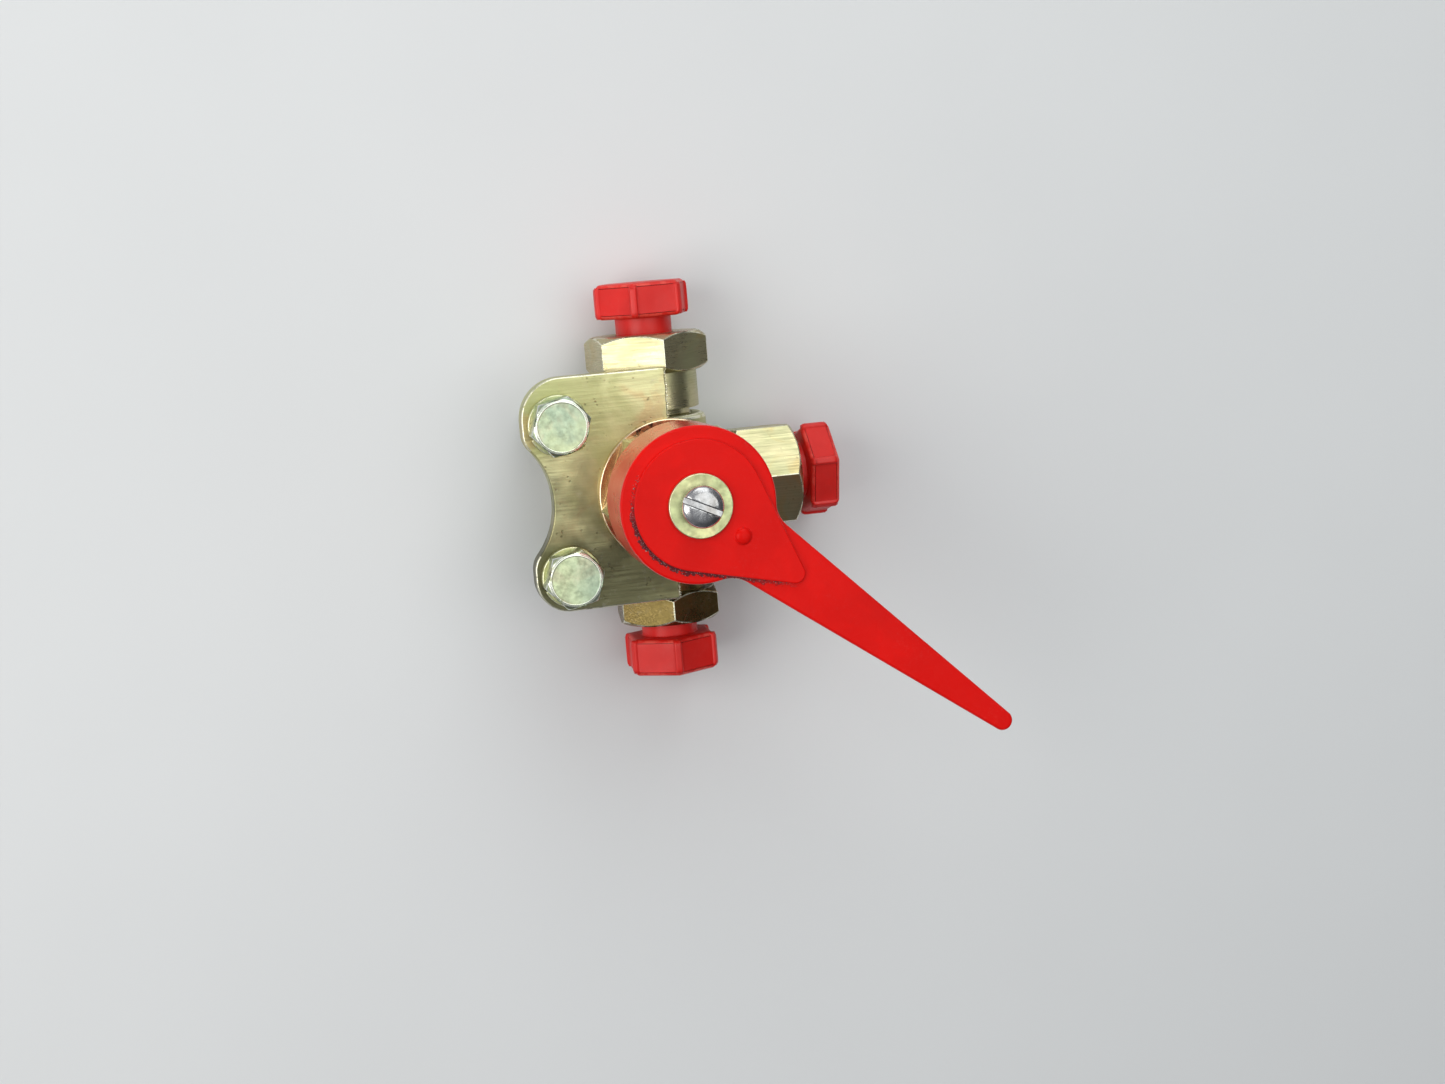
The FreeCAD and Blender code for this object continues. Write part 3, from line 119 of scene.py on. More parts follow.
class ValveSizes(bpy.types.PropertyGroup):
    """Sizes of the details that the finish adds to the frame."""
    forging_round: length("Forging edges", "Rounding of the body's edges", 0.45 * MM)
    turned_round: length("Turned edges", "Rounding of the edges of turned pieces", 0.25 * MM)
    paint_round: length("Painted edges", "Rounding of the lever's edges under its paint", 0.35 * MM)
    plug_round: length("Moulded edges", "Rounding of the plugs' edges", 0.3 * MM)
    stud_pitch: length("Bolt thread pitch", "Pitch of the mounting bolts' thread", 1.25 * MM)
    port_pitch: length("Port thread pitch", "Pitch of the thread in the ports", 1.5 * MM)
    thread_height: length("Thread height", "Height of a thread above its root", 0.55 * MM)
    plug_flats: length("Plug flats", "Width of a plug's head across its flats", 20.4 * MM)
    strip_width: length("Strip width", "Width of the grip strips on a plug's head", 1.9 * MM)
    strip_height: length("Strip height", "How far a strip stands out of the plug's corner", 0.5 * MM)
    rim_radius: length("Rim radius", "Radius of the pressed rim on a bolt's head", 5.9 * MM)
    rim_height: length("Rim height", "Height of that rim", 0.10 * MM)
    burr_size: length("Burr size", "Largest burr on the flange's cut edge", 0.28 * MM)
    cut_waviness: length("Cut waviness", "How far the cut edge wanders", 0.22 * MM)
    # The crumbs are dirt that also stands in for painted shade in the crease.
    crumb_size: length("Crumb size", "Largest crumb of grime beside the lever's boss", 0.16 * MM)
    dot_radius: length("Dot radius", "Radius of the round dot on the lever", 1.9 * MM)
    camera_distance: length("Camera distance", "Camera from the point it looks at", 0.525)
    camera_lens: bpy.props.FloatProperty(name="Lens", description="Focal length in millimetres",
                                         default=52.32, min=1.0, subtype="NONE")


class ValveColours(bpy.types.PropertyGroup):
    """Base colours of the finishes, linear."""
    forged: colour("Forged body", "Yellow passivated forging", (0.62, 0.60, 0.33))
    fitting: colour("Fittings", "Yellow passivated turned steel", (0.56, 0.50, 0.30))
    bonnet: colour("Bonnet", "Golden passivated hexagon", (0.76, 0.64, 0.38))
    copper: colour("Sealing ring", "Copper", (0.80, 0.54, 0.30))
    lever: colour("Lever paint", "Red enamel", (0.74, 0.007, 0.005))
    plug: colour("Plugs", "Red moulded plastic", (0.74, 0.013, 0.009))
    bolt: colour("Bolts", "Pale green zinc", (0.55, 0.62, 0.39))
    washer: colour("Lever washer", "Pale yellow zinc", (0.66, 0.66, 0.34))
    screw: colour("Screw", "Bare steel", (0.50, 0.50, 0.52))
    floor: colour("Floor", "Pale studio floor", (0.74, 0.75, 0.77))


def sizes():
    return bpy.context.scene.valve_sizes


def colours():
    return bpy.context.scene.valve_colours


# -------------------------------------------------------------------- node trees
class Board:
    """Adds nodes to a tree and joins them up."""

    def __init__(self, tree):
        self.tree = tree

    def put(self, socket, value):
        if isinstance(value, bpy.types.NodeSocket):
            self.tree.links.new(value, socket)
        else:
            socket.default_value = value

    def node(self, kind, inputs=(), **settings):
        made = self.tree.nodes.new(kind)
        for name, value in settings.items():
            setattr(made, name, value)
        for key, value in dict(inputs).items():
            self.put(made.inputs[key], value)
        return made

    def math(self, operation, *values):
        """A Math node's result."""
        made = self.node("ShaderNodeMath", dict(enumerate(values)), operation=operation)
        return made.outputs[0]

    def vector(self, operation, *values):
        """A Vector Math node's vector result."""
        made = self.node("ShaderNodeVectorMath", dict(enumerate(values)), operation=operation)
        return made.outputs["Vector"]

    def range(self, value, low, high, to_low=0.0, to_high=1.0, smooth=True):
        """A value stretched from one range to another, clamped."""
        made = self.node("ShaderNodeMapRange", {"Value": value, "From Min": low, "From Max": high,
                                                "To Min": to_low, "To Max": to_high})
        made.interpolation_type = "SMOOTHSTEP" if smooth else "LINEAR"
        return made.outputs["Result"]

    def combine(self, x=0.0, y=0.0, z=0.0):
        return self.node("ShaderNodeCombineXYZ", {"X": x, "Y": y, "Z": z}).outputs[0]

    def split(self, vector):
        return self.node("ShaderNodeSeparateXYZ", {0: vector}).outputs

    def reach(self, vector):
        """A vector's length."""
        return self.node("ShaderNodeVectorMath", {0: vector}, operation="LENGTH").outputs["Value"]

    def along(self, vector, direction):
        """How far a vector goes in a direction."""
        made = self.node("ShaderNodeVectorMath", {0: vector, 1: direction}, operation="DOT_PRODUCT")
        return made.outputs["Value"]

    def clouds(self, place, scale, detail, **more):
        """A noise texture's value at a place."""
        made = self.node("ShaderNodeTexNoise", {"Vector": place, "Scale": scale, "Detail": detail, **more})
        return made.outputs["Fac"]

    def mix(self, share, first, second):
        """One colour fading into another."""
        return self.node("ShaderNodeMix", {0: share, 6: first, 7: second}, data_type="RGBA").outputs[2]


def new_tree(name, kind, inputs, outputs):
    """A node group with named sockets, and its input and output nodes."""
    tree = bpy.data.node_groups.new(name, kind)
    for label, socket_type, default in inputs:
        socket = tree.interface.new_socket(label, in_out="INPUT", socket_type=socket_type)
        if default is not None:
            socket.default_value = default
    for label, socket_type in outputs:
        tree.interface.new_socket(label, in_out="OUTPUT", socket_type=socket_type)
    board = Board(tree)
    start = board.node("NodeGroupInput")
    end = board.node("NodeGroupOutput")
    return board, start.outputs, end.inputs


FLOAT = "NodeSocketFloat"
COLOUR = "NodeSocketColor"
VECTOR = "NodeSocketVector"
COUNT = "NodeSocketInt"
MATERIAL = "NodeSocketMaterial"
GEOMETRY = "NodeSocketGeometry"


# ----------------------------------------------------------------- geometry trees
def finish_tree(board, geometry, material, end, shade_smooth=True):
    """Realize the instances, set the material and send the result out."""
    real = board.node("GeometryNodeRealizeInstances", {"Geometry": geometry}).outputs[0]
    smooth = board.node("GeometryNodeSetShadeSmooth", {"Geometry": real, "Shade Smooth": shade_smooth})
    painted = board.node("GeometryNodeSetMaterial", {"Geometry": smooth.outputs[0], "Material": material})
    board.put(end["Geometry"], painted.outputs[0])


# A thread's ridge thins out over this share of its length at both ends, down to this scale. Half of
# its foot and of its crest are given in pitches, and the depth of the foot in the root in heights.
THREAD_RUN_OUT = 0.09
THREAD_THINNEST = 0.05
THREAD_FOOT = 0.44
THREAD_CREST = 0.07
THREAD_SUNK = 0.15


def thread_tree():
    """A helical ridge about Z from 0 up to Length, thinning out at both ends."""
    board, given, end = new_tree("Thread ridge", "GeometryNodeTree", (
        ("Root Radius", FLOAT, 4 * MM), ("Height", FLOAT, 0.5 * MM), ("Pitch", FLOAT, 1.25 * MM),
        ("Length", FLOAT, 8 * MM), ("Steps per Turn", COUNT, 40), ("Material", MATERIAL, None)),
        (("Geometry", GEOMETRY),))
    turns = board.math("DIVIDE", given["Length"], given["Pitch"])
    steps = board.math("MULTIPLY", turns, given["Steps per Turn"])
    line = board.node("GeometryNodeCurvePrimitiveLine", {"End": (0.0, 0.0, 1.0)})
    path = board.node("GeometryNodeResampleCurve", {"Curve": line.outputs[0], "Count": steps})
    share = board.split(board.node("GeometryNodeInputPosition").outputs[0])["Z"]
    angle = board.math("MULTIPLY", board.math("MULTIPLY", share, turns), math.tau)
    place = board.combine(board.math("MULTIPLY", board.math("COSINE", angle), given["Root Radius"]),
                          board.math("MULTIPLY", board.math("SINE", angle), given["Root Radius"]),
                          board.math("MULTIPLY", share, given["Length"]))
    ramp_in = board.range(share, 0.0, THREAD_RUN_OUT)
    ramp_out = board.range(share, 1.0 - THREAD_RUN_OUT, 1.0, 1.0, 0.0)
    thin = board.math("MAXIMUM", board.math("MULTIPLY", ramp_in, ramp_out), THREAD_THINNEST)
    ridge = board.node("GeometryNodeSetCurveRadius", {"Curve": path.outputs[0], "Radius": thin})
    helix = board.node("GeometryNodeSetPosition", {"Geometry": ridge.outputs[0], "Position": place})
    level = board.node("GeometryNodeSetCurveNormal", {"Curve": helix.outputs[0]}, mode="Z_UP")
    outline = board.node("GeometryNodeCurvePrimitiveQuadrilateral", mode="POINTS")
    foot = board.math("MULTIPLY", given["Pitch"], THREAD_FOOT)
    crest = board.math("MULTIPLY", given["Pitch"], THREAD_CREST)
    low = board.math("MULTIPLY", given["Height"], -THREAD_SUNK)
    for key, x, y in (("Point 1", low, foot), ("Point 2", given["Height"], crest),
                      ("Point 3", given["Height"], board.math("MULTIPLY", crest, -1.0)),
                      ("Point 4", low, board.math("MULTIPLY", foot, -1.0))):
        board.put(outline.inputs[key], board.combine(x, y))
    solid = board.node("GeometryNodeCurveToMesh", {
        "Curve": level.outputs[0], "Profile Curve": outline.outputs[0], "Fill Caps": True,
        "Scale": board.node("GeometryNodeInputRadius").outputs[0]})
    finish_tree(board, solid.outputs[0], given["Material"], end, shade_smooth=False)
    return board.tree


# A grip strip is a block this many heights deep. Its sides and ends sink by a share of its height,
# as powers of the place across and along it.
STRIP_DEPTH = 4.0
STRIP_SIDE_POWER = 6.0
STRIP_END_POWER = 10.0
STRIP_SINK = 0.75


def strip_tree():
    """Rounded grip strips on the six corners of a hexagon about Z."""
    board, given, end = new_tree("Grip strips", "GeometryNodeTree", (
        ("Corner Radius", FLOAT, 11 * MM), ("Width", FLOAT, 2 * MM), ("Height", FLOAT, 0.5 * MM),
        ("Start", FLOAT, 0.0), ("Length", FLOAT, 8 * MM), ("Material", MATERIAL, None)),
        (("Geometry", GEOMETRY),))
    ring = board.node("GeometryNodeMeshCircle", {"Vertices": 6, "Radius": given["Corner Radius"]})
    half = board.math("MULTIPLY", given["Length"], 0.5)
    lift = board.combine(0.0, 0.0, board.math("ADD", given["Start"], half))
    spots = board.node("GeometryNodeTransform", {"Geometry": ring.outputs[0], "Translation": lift})
    depth = board.math("MULTIPLY", given["Height"], STRIP_DEPTH)
    block = board.combine(depth, given["Width"], given["Length"])
    box = board.node("GeometryNodeMeshCube", {"Size": block, "Vertices X": 4, "Vertices Y": 9,
                                              "Vertices Z": 12})
    place = board.node("GeometryNodeInputPosition").outputs[0]
    spot = board.split(place)
    across = board.math("DIVIDE", spot["Y"], board.math("MULTIPLY", given["Width"], 0.5))
    along = board.math("DIVIDE", spot["Z"], half)
    fall = board.math("ADD", board.math("POWER", board.math("ABSOLUTE", across), STRIP_SIDE_POWER),
                      board.math("POWER", board.math("ABSOLUTE", along), STRIP_END_POWER))
    sink = board.math("MULTIPLY", board.math("MULTIPLY", fall, given["Height"]), -STRIP_SINK)
    shaped = board.node("GeometryNodeSetPosition", {"Geometry": box.outputs[0],
                                                    "Offset": board.combine(sink, 0.0, 0.0)})
    outward = board.vector("MULTIPLY", place, (1.0, 1.0, 0.0))
    turn = board.node("FunctionNodeAlignRotationToVector", {"Vector": outward}, axis="X",
                      pivot_axis="Z")
    copies = board.node("GeometryNodeInstanceOnPoints", {"Points": spots.outputs[0],
                                                         "Instance": shaped.outputs[0],
                                                         "Rotation": turn.outputs[0]})
    finish_tree(board, copies.outputs[0], given["Material"], end)
    return board.tree


# A pressed rim's section is this many times as wide as it is high.
RIM_SPREAD = 2.6


def rim_tree():
    """A low pressed rim on the top of each bolt head, given as points."""
    board, given, end = new_tree("Pressed rims", "GeometryNodeTree", (
        ("Geometry", GEOMETRY, None), ("Radius", FLOAT, 5 * MM), ("Height", FLOAT, 0.15 * MM),
        ("Material", MATERIAL, None)), (("Geometry", GEOMETRY),))
    ring = board.node("GeometryNodeCurvePrimitiveCircle", {"Resolution": 64, "Radius": given["Radius"]})
    section = board.node("GeometryNodeCurvePrimitiveCircle", {"Resolution": 12, "Radius": given["Height"]})
    wide = board.node("GeometryNodeTransform", {"Geometry": section.outputs[0],
                                                "Scale": (RIM_SPREAD, 1.0, 1.0)})
    solid = board.node("GeometryNodeCurveToMesh", {"Curve": ring.outputs[0],
                                                   "Profile Curve": wide.outputs[0]})
    copies = board.node("GeometryNodeInstanceOnPoints", {"Points": given["Geometry"],
                                                         "Instance": solid.outputs[0]})
    finish_tree(board, copies.outputs[0], given["Material"], end)
    return board.tree


def grain_tree():
    """Small rough lumps scattered along the given curve or edges, with a fixed seed."""
    board, given, end = new_tree("Scattered grains", "GeometryNodeTree", (
        ("Geometry", GEOMETRY, None), ("Count", COUNT, 60), ("Size", FLOAT, 0.2 * MM),
        ("Spread", FLOAT, 0.3 * MM), ("Flatness", FLOAT, 0.6), ("Seed", COUNT, 1),
        ("Material", MATERIAL, None)), (("Geometry", GEOMETRY),))
    path = board.node("GeometryNodeMeshToCurve", {"Mesh": given["Geometry"]})
    spots = board.node("GeometryNodeCurveToPoints", {"Curve": path.outputs[0], "Count": given["Count"]})

    def random(low, high, offset, kind="FLOAT"):
        """A random value for each grain, with its own offset from the seed."""
        seed = board.math("ADD", given["Seed"], offset)
        made = board.node("FunctionNodeRandomValue", data_type=kind)
        inputs = [i for i in made.inputs if i.enabled]
        for socket, value in zip(inputs, (low, high)):
            board.put(socket, value)
        board.put(made.inputs["Seed"], seed)
        return next(o for o in made.outputs if o.enabled)

    shift = board.vector("MULTIPLY", random((-1.0, -1.0, -0.3), (1.0, 1.0, 0.3), 0, "FLOAT_VECTOR"),
                         board.combine(given["Spread"], given["Spread"], given["Spread"]))
    moved = board.node("GeometryNodeSetPosition", {"Geometry": spots.outputs["Points"], "Offset": shift})
    lump = board.node("GeometryNodeMeshIcoSphere", {"Radius": given["Size"], "Subdivisions": 2})
    flat = board.node("GeometryNodeTransform", {"Geometry": lump.outputs[0],
                                                "Scale": board.combine(1.0, 1.0, given["Flatness"])})
    turn = random((0.0, 0.0, 0.0), (0.5, 0.5, math.tau), 7, "FLOAT_VECTOR")
    scale = board.math("POWER", random(0.35, 1.0, 13), 2.0)
    copies = board.node("GeometryNodeInstanceOnPoints", {"Points": moved.outputs[0],
                                                         "Instance": flat.outputs[0],
                                                         "Rotation": turn, "Scale": scale})
    finish_tree(board, copies.outputs[0], given["Material"], end)
    return board.tree


TREES = {}
TREE_MAKERS = {"thread": thread_tree, "strips": strip_tree, "rims": rim_tree, "grains": grain_tree}


def grown(which, values, start=None):
    """The plain mesh that a geometry tree makes, from a starting mesh where it needs one."""
    if which not in TREES:
        TREES[which] = TREE_MAKERS[which]()
    tree = TREES[which]
    blank = bpy.data.objects.new("blank", start or bpy.data.meshes.new("blank"))
    bpy.context.scene.collection.objects.link(blank)
    modifier = blank.modifiers.new("tree", "NODES")
    modifier.node_group = tree
    names = {item.name: item.identifier for item in tree.interface.items_tree
             if item.in_out == "INPUT"}
    for name, value in values.items():
        modifier[names[name]] = value
    graph = bpy.context.evaluated_depsgraph_get()
    mesh = bpy.data.meshes.new_from_object(blank.evaluated_get(graph))
    blank.modifiers.clear()
    bpy.data.objects.remove(blank)
    return mesh


def points_mesh(points, joined=False):
    """A mesh of bare points, or of a path through them."""
    mesh = bpy.data.meshes.new("points")
    edges = [(i, i + 1) for i in range(len(points) - 1)] if joined else []
    mesh.from_pydata([tuple(p) for p in points], edges, [])
    return mesh


# ------------------------------------------------------------------ shader groups
def brushed_group():
    """Fine tool marks: noise drawn out along the axes with a small scale."""
    board, given, end = new_tree("Tool marks", "ShaderNodeTree", (
        ("Vector", VECTOR, None), ("Scale", VECTOR, (80.0, 2600.0, 2600.0)), ("Broken", FLOAT, 0.5)),
        (("Height", FLOAT), ("Shade", FLOAT)))
    drawn = board.vector("MULTIPLY", given["Vector"], given["Scale"])
    fine = board.clouds(drawn, 1.0, 3.0, Roughness=0.6)
    broken = board.range(board.clouds(given["Vector"], 190.0, 3.0), 0.32, 0.66)
    kept = board.math("MULTIPLY_ADD", board.math("SUBTRACT", broken, 1.0), given["Broken"], 1.0)
    height = board.math("MULTIPLY", board.math("SUBTRACT", fine, 0.5), kept)
    board.put(end["Height"], height)
    board.put(end["Shade"], board.math("ADD", height, 0.5))
    return board.tree


def pitted_group():
    """Rough skin of a forging: lumps, dents and small pits."""
    board, given, end = new_tree("Forged skin", "ShaderNodeTree", (
        ("Vector", VECTOR, None), ("Lump Scale", FLOAT, 260.0), ("Pit Scale", FLOAT, 900.0),
        ("Pits", FLOAT, 0.4)), (("Height", FLOAT), ("Pit Mask", FLOAT)))
    lumps = board.clouds(given["Vector"], given["Lump Scale"], 5.0, Roughness=0.62)
    cells = board.node("ShaderNodeTexVoronoi", {"Vector": given["Vector"], "Scale": given["Pit Scale"],
                                                "Randomness": 1.0})
    pit = board.math("MULTIPLY", board.range(cells.outputs["Distance"], 0.34, 0.12),
                     board.range(board.clouds(given["Vector"], 330.0, 1.0), 0.54, 0.68))
    pit = board.math("MULTIPLY", pit, given["Pits"])
    board.put(end["Height"], board.math("SUBTRACT", lumps, pit))
    board.put(end["Pit Mask"], pit)
    return board.tree


def tarnish_group():
    """Mottled passivation: two tints drift over a base colour."""
    board, given, end = new_tree("Passivation", "ShaderNodeTree", (
        ("Vector", VECTOR, None), ("Base", COLOUR, (0.6, 0.55, 0.35, 1)),
        ("First Tint", COLOUR, (0.5, 0.6, 0.3, 1)), ("Second Tint", COLOUR, (0.6, 0.4, 0.3, 1)),
        ("Amount", FLOAT, 0.5), ("Scale", FLOAT, 60.0)), (("Color", COLOUR), ("Mask", FLOAT)))
    first = board.clouds(given["Vector"], given["Scale"], 4.0, Distortion=0.6)
    elsewhere = board.vector("ADD", given["Vector"], (0.31, 0.17, 0.23))
    finer = board.math("MULTIPLY", given["Scale"], 1.9)
    second = board.clouds(elsewhere, finer, 5.0, Distortion=0.9)
    first_mask = board.range(first, 0.42, 0.64)
    second_mask = board.range(second, 0.50, 0.72)
    tinted = board.mix(board.math("MULTIPLY", first_mask, given["Amount"]), given["Base"],
                       given["First Tint"])
    tinted = board.mix(board.math("MULTIPLY", second_mask, given["Amount"]), tinted,
                       given["Second Tint"])
    board.put(end["Color"], tinted)
    board.put(end["Mask"], first_mask)
    return board.tree


def wear_group():
    """Edges rubbed down to another colour, broken up by noise."""
    board, given, end = new_tree("Edge wear", "ShaderNodeTree", (
        ("Vector", VECTOR, None), ("Color", COLOUR, (0.5, 0.5, 0.5, 1)),
        ("Worn Color", COLOUR, (0.8, 0.8, 0.8, 1)), ("Edge", FLOAT, 0.0),
        ("Amount", FLOAT, 0.5), ("Scale", FLOAT, 420.0)), (("Color", COLOUR), ("Mask", FLOAT)))
    chips = board.clouds(given["Vector"], given["Scale"], 6.0, Roughness=0.65)
    low = board.math("SUBTRACT", 0.85, board.math("MULTIPLY", given["Amount"], 0.6))
    high = board.math("ADD", low, 0.16)
    mask = board.math("MULTIPLY", board.range(chips, low, high), given["Edge"])
    board.put(end["Color"], board.mix(mask, given["Color"], given["Worn Color"]))
    board.put(end["Mask"], mask)
    return board.tree


def dust_group():
    """Dust in specks and patches, mostly where a surface looks up."""
    board, given, end = new_tree("Dust", "ShaderNodeTree", (
        ("Vector", VECTOR, None), ("Color", COLOUR, (0.5, 0.5, 0.5, 1)),
        ("Dust Color", COLOUR, (0.55, 0.52, 0.47, 1)), ("Amount", FLOAT, 0.3), ("Scale", FLOAT, 700.0)),
        (("Color", COLOUR), ("Mask", FLOAT)))
    specks = board.clouds(given["Vector"], given["Scale"], 7.0, Roughness=0.75)
    patches = board.clouds(given["Vector"], 90.0, 3.0)
    normal = board.node("ShaderNodeNewGeometry").outputs["Normal"]
    upward = board.range(board.split(normal)["Z"], -0.1, 1.0, 0.15, 1.0)
    mask = board.math("MULTIPLY", board.range(specks, 0.50, 0.76), board.range(patches, 0.40, 0.68))
    mask = board.math("MULTIPLY", board.math("MULTIPLY", mask, upward), given["Amount"])
    board.put(end["Color"], board.mix(mask, given["Color"], given["Dust Color"]))
    board.put(end["Mask"], mask)
    return board.tree


def boss_distance_group():
    """Distance from the outline of the lever's raised teardrop, along the lever's face."""
    board, given, end = new_tree("Boss distance", "ShaderNodeTree", (
        ("Vector", VECTOR, None), ("Large Radius", FLOAT, 15 * MM), ("Small Radius", FLOAT, 2 * MM),
        ("Span", FLOAT, 28 * MM)), (("Distance", FLOAT),))
    place = board.split(given["Vector"])
    across = board.math("ABSOLUTE", place["Y"])
    slope = board.math("DIVIDE", board.math("SUBTRACT", given["Large Radius"], given["Small Radius"]),
                       given["Span"])
    run = board.math("SQRT", board.math("SUBTRACT", 1.0, board.math("MULTIPLY", slope, slope)))
    along = board.math("SUBTRACT", board.math("MULTIPLY", place["X"], run),
                       board.math("MULTIPLY", across, slope))
    flank = board.math("SUBTRACT", board.math("ADD", board.math("MULTIPLY", across, run),
                                              board.math("MULTIPLY", place["X"], slope)),
                       given["Large Radius"])
    flat = board.combine(place["X"], place["Y"])
    near = board.math("SUBTRACT", board.reach(flat), given["Large Radius"])
    from_tip = board.vector("SUBTRACT", flat, board.combine(given["Span"]))
    far = board.math("SUBTRACT", board.reach(from_tip), given["Small Radius"])
    before = board.math("LESS_THAN", along, 0.0)
    beyond = board.math("GREATER_THAN", along, board.math("MULTIPLY", run, given["Span"]))
    between = board.math("SUBTRACT", board.math("SUBTRACT", 1.0, before), beyond)
    total = board.math("ADD", board.math("MULTIPLY", near, before), board.math("MULTIPLY", far, beyond))
    board.put(end["Distance"], board.math("ADD", total, board.math("MULTIPLY", flank, between)))
    return board.tree


GROUPS = {}
GROUP_MAKERS = {"brushed": brushed_group, "pitted": pitted_group, "tarnish": tarnish_group,
                "wear": wear_group, "dust": dust_group, "boss": boss_distance_group}


# ---------------------------------------------------------------------- materials
class Finish(Board):
    """A material being built round one Principled shader."""

    def __init__(self, name):
        self.material = bpy.data.materials.new(name)
        self.material.use_nodes = True
        super().__init__(self.material.node_tree)
        self.tree.nodes.clear()
        self.shader = self.node("ShaderNodeBsdfPrincipled")
        self.output = self.node("ShaderNodeOutputMaterial")
        self.put(self.output.inputs["Surface"], self.shader.outputs[0])
        self.place = self.node("ShaderNodeTexCoord").outputs["Object"]

    def group(self, which, **values):
        """A shared group placed in this material; it reads the object's coordinates."""
        if which not in GROUPS:
            GROUPS[which] = GROUP_MAKERS[which]()
        made = self.node("ShaderNodeGroup", node_tree=GROUPS[which])
        self.put(made.inputs["Vector"], self.place)
        for name, value in values.items():
            self.put(made.inputs[name.replace("_", " ")], value)
        return made.outputs

    def edge(self):
        """How worn the rounded edges are, stored on the mesh."""
        return self.node("ShaderNodeAttribute", attribute_name="worn_edge").outputs["Fac"]

    def clear_from_behind(self):
        """Let a look from below pass through the surface."""
        clear = self.node("ShaderNodeBsdfTransparent")
        behind = self.node("ShaderNodeNewGeometry").outputs["Backfacing"]
        mixed = self.node("ShaderNodeMixShader", {0: behind, 1: self.shader.outputs[0],
                                                  2: clear.outputs[0]})
        self.put(self.output.inputs["Surface"], mixed.outputs[0])

    def set(self, **values):
        for name, value in values.items():
            self.put(self.shader.inputs[name.replace("_", " ")], value)

    def bump(self, height, distance, strength=1.0, normal=None):
        made = self.node("ShaderNodeBump", {"Strength": strength, "Distance": distance,
                                            "Height": height})
        if normal is not None:
            self.put(made.inputs["Normal"], normal)
        return made.outputs[0]

    def painted_side_shade(self, direction):
        """Painted shade on the side of the valve that a direction points to: 0 unshaded, 1 fully shaded.
        """
        centred = self.vector("SUBTRACT", self.place, tuple(CENTRE))
        wander = self.range(self.clouds(self.place, 70.0, 3.0), 0.25, 0.75, -9 * MM, 9 * MM)
        return self.range(self.math("ADD", self.along(centred, direction), wander), 4 * MM, 26 * MM)


def rgb(colour_value, factor=1.0):
    """A colour for a shader socket, darkened or lightened by a factor."""
    return tuple(min(1.0, part * factor) for part in colour_value[:3]) + (1.0,)


# Scales of the tool marks: fine across the marks and coarse along them.
ALONG_X = (90.0, 2600.0, 2600.0)
ALONG_Z = (2600.0, 2600.0, 90.0)
ROUND_Y = (160.0, 3200.0, 160.0)
ROUND_Z = (160.0, 160.0, 3200.0)
# How dark pits, and the painted shade on one side of the body, are beside the fresh colour.
DARKENED = 0.22


def plated(name, base, first, second, marks, roughness=0.3, marks_depth=0.03, skin_depth=0.0,
           amount=0.6, wear=0.5, dust=0.3, pits=0.3, worn=(0.86, 0.84, 0.66), streaks=1.0, shade_side=None):
    """Plated metal: passivation tints, tool marks, rubbed edges, pits and dust, with painted shade on one
    side when a shade side is given.
    """
    finish = Finish(name)
    tint = finish.group("tarnish", Base=rgb(base), First_Tint=rgb(first), Second_Tint=rgb(second),
                        Amount=amount)
    tool = finish.group("brushed", Scale=marks)
    skin = finish.group("pitted", Pits=pits)
    shade = finish.range(tool["Shade"], 0.30, 0.70, 1.0 - 0.26 * streaks, 1.0 + 0.12 * streaks,
                         smooth=False)
    scaled = finish.node("ShaderNodeVectorMath", {0: tint["Color"], "Scale": shade}, operation="SCALE")
    plain = scaled.outputs[0]
    # Painted shade: the colour darkens towards the shade side, broken by noise.
    if shade_side:
        plain = finish.mix(finish.painted_side_shade(shade_side), plain, rgb(base, DARKENED))
    pitted = finish.mix(skin["Pit Mask"], plain, rgb(base, DARKENED))
    rubbed = finish.group("wear", Color=pitted, Worn_Color=rgb(worn), Edge=finish.edge(), Amount=wear)
    dusty = finish.group("dust", Color=rubbed["Color"], Amount=dust)
    rough = finish.math("ADD", finish.range(tool["Shade"], 0.3, 0.7, roughness + 0.10, roughness - 0.06),
                        finish.math("MULTIPLY", tint["Mask"], 0.09))
    rough = finish.math("SUBTRACT", rough, finish.math("MULTIPLY", rubbed["Mask"], 0.10))
    finish.set(Base_Color=dusty["Color"], Metallic=finish.range(dusty["Mask"], 0.0, 1.0, 1.0, 0.0),
               Roughness=finish.math("ADD", rough, finish.math("MULTIPLY", dusty["Mask"], 0.4)))
    normal = finish.bump(tool["Height"], marks_depth * MM)
    if skin_depth:
        normal = finish.bump(skin["Height"], skin_depth * MM, normal=normal)
    finish.set(Normal=normal)
    return finish.material


def forged_zinc():
    """Yellow passivated forging with a satin face, and painted shade darkening one side."""
    return plated("forged_zinc", colours().forged, (0.42, 0.44, 0.19), (0.56, 0.40, 0.20), ALONG_X,
                  roughness=0.34, marks_depth=0.012, skin_depth=0.10, amount=0.6, wear=0.9, pits=0.5,
                  streaks=0.35, shade_side=(-0.60, -0.80, 0.0))


def fitting_zinc(name, marks, shaded_golden=False):
    """Yellow passivated turned steel; the shaded kind for the bottom port has a deeper gold tone and is
    far darker, the darkness being painted shade from the flange.
    """
    # Painted shade: these dark colours stand for the flange's shade over the bottom fitting.
    if shaded_golden:
        base, first, second = (0.19, 0.14, 0.05), (0.24, 0.18, 0.06), (0.13, 0.09, 0.035)
    else:
        base, first, second = colours().fitting, (0.44, 0.46, 0.25), (0.56, 0.42, 0.18)
    return plated(name, base, first, second, marks, roughness=0.27, marks_depth=0.022, skin_depth=0.05,
                  amount=0.6, wear=0.85, pits=0.3, streaks=0.7)


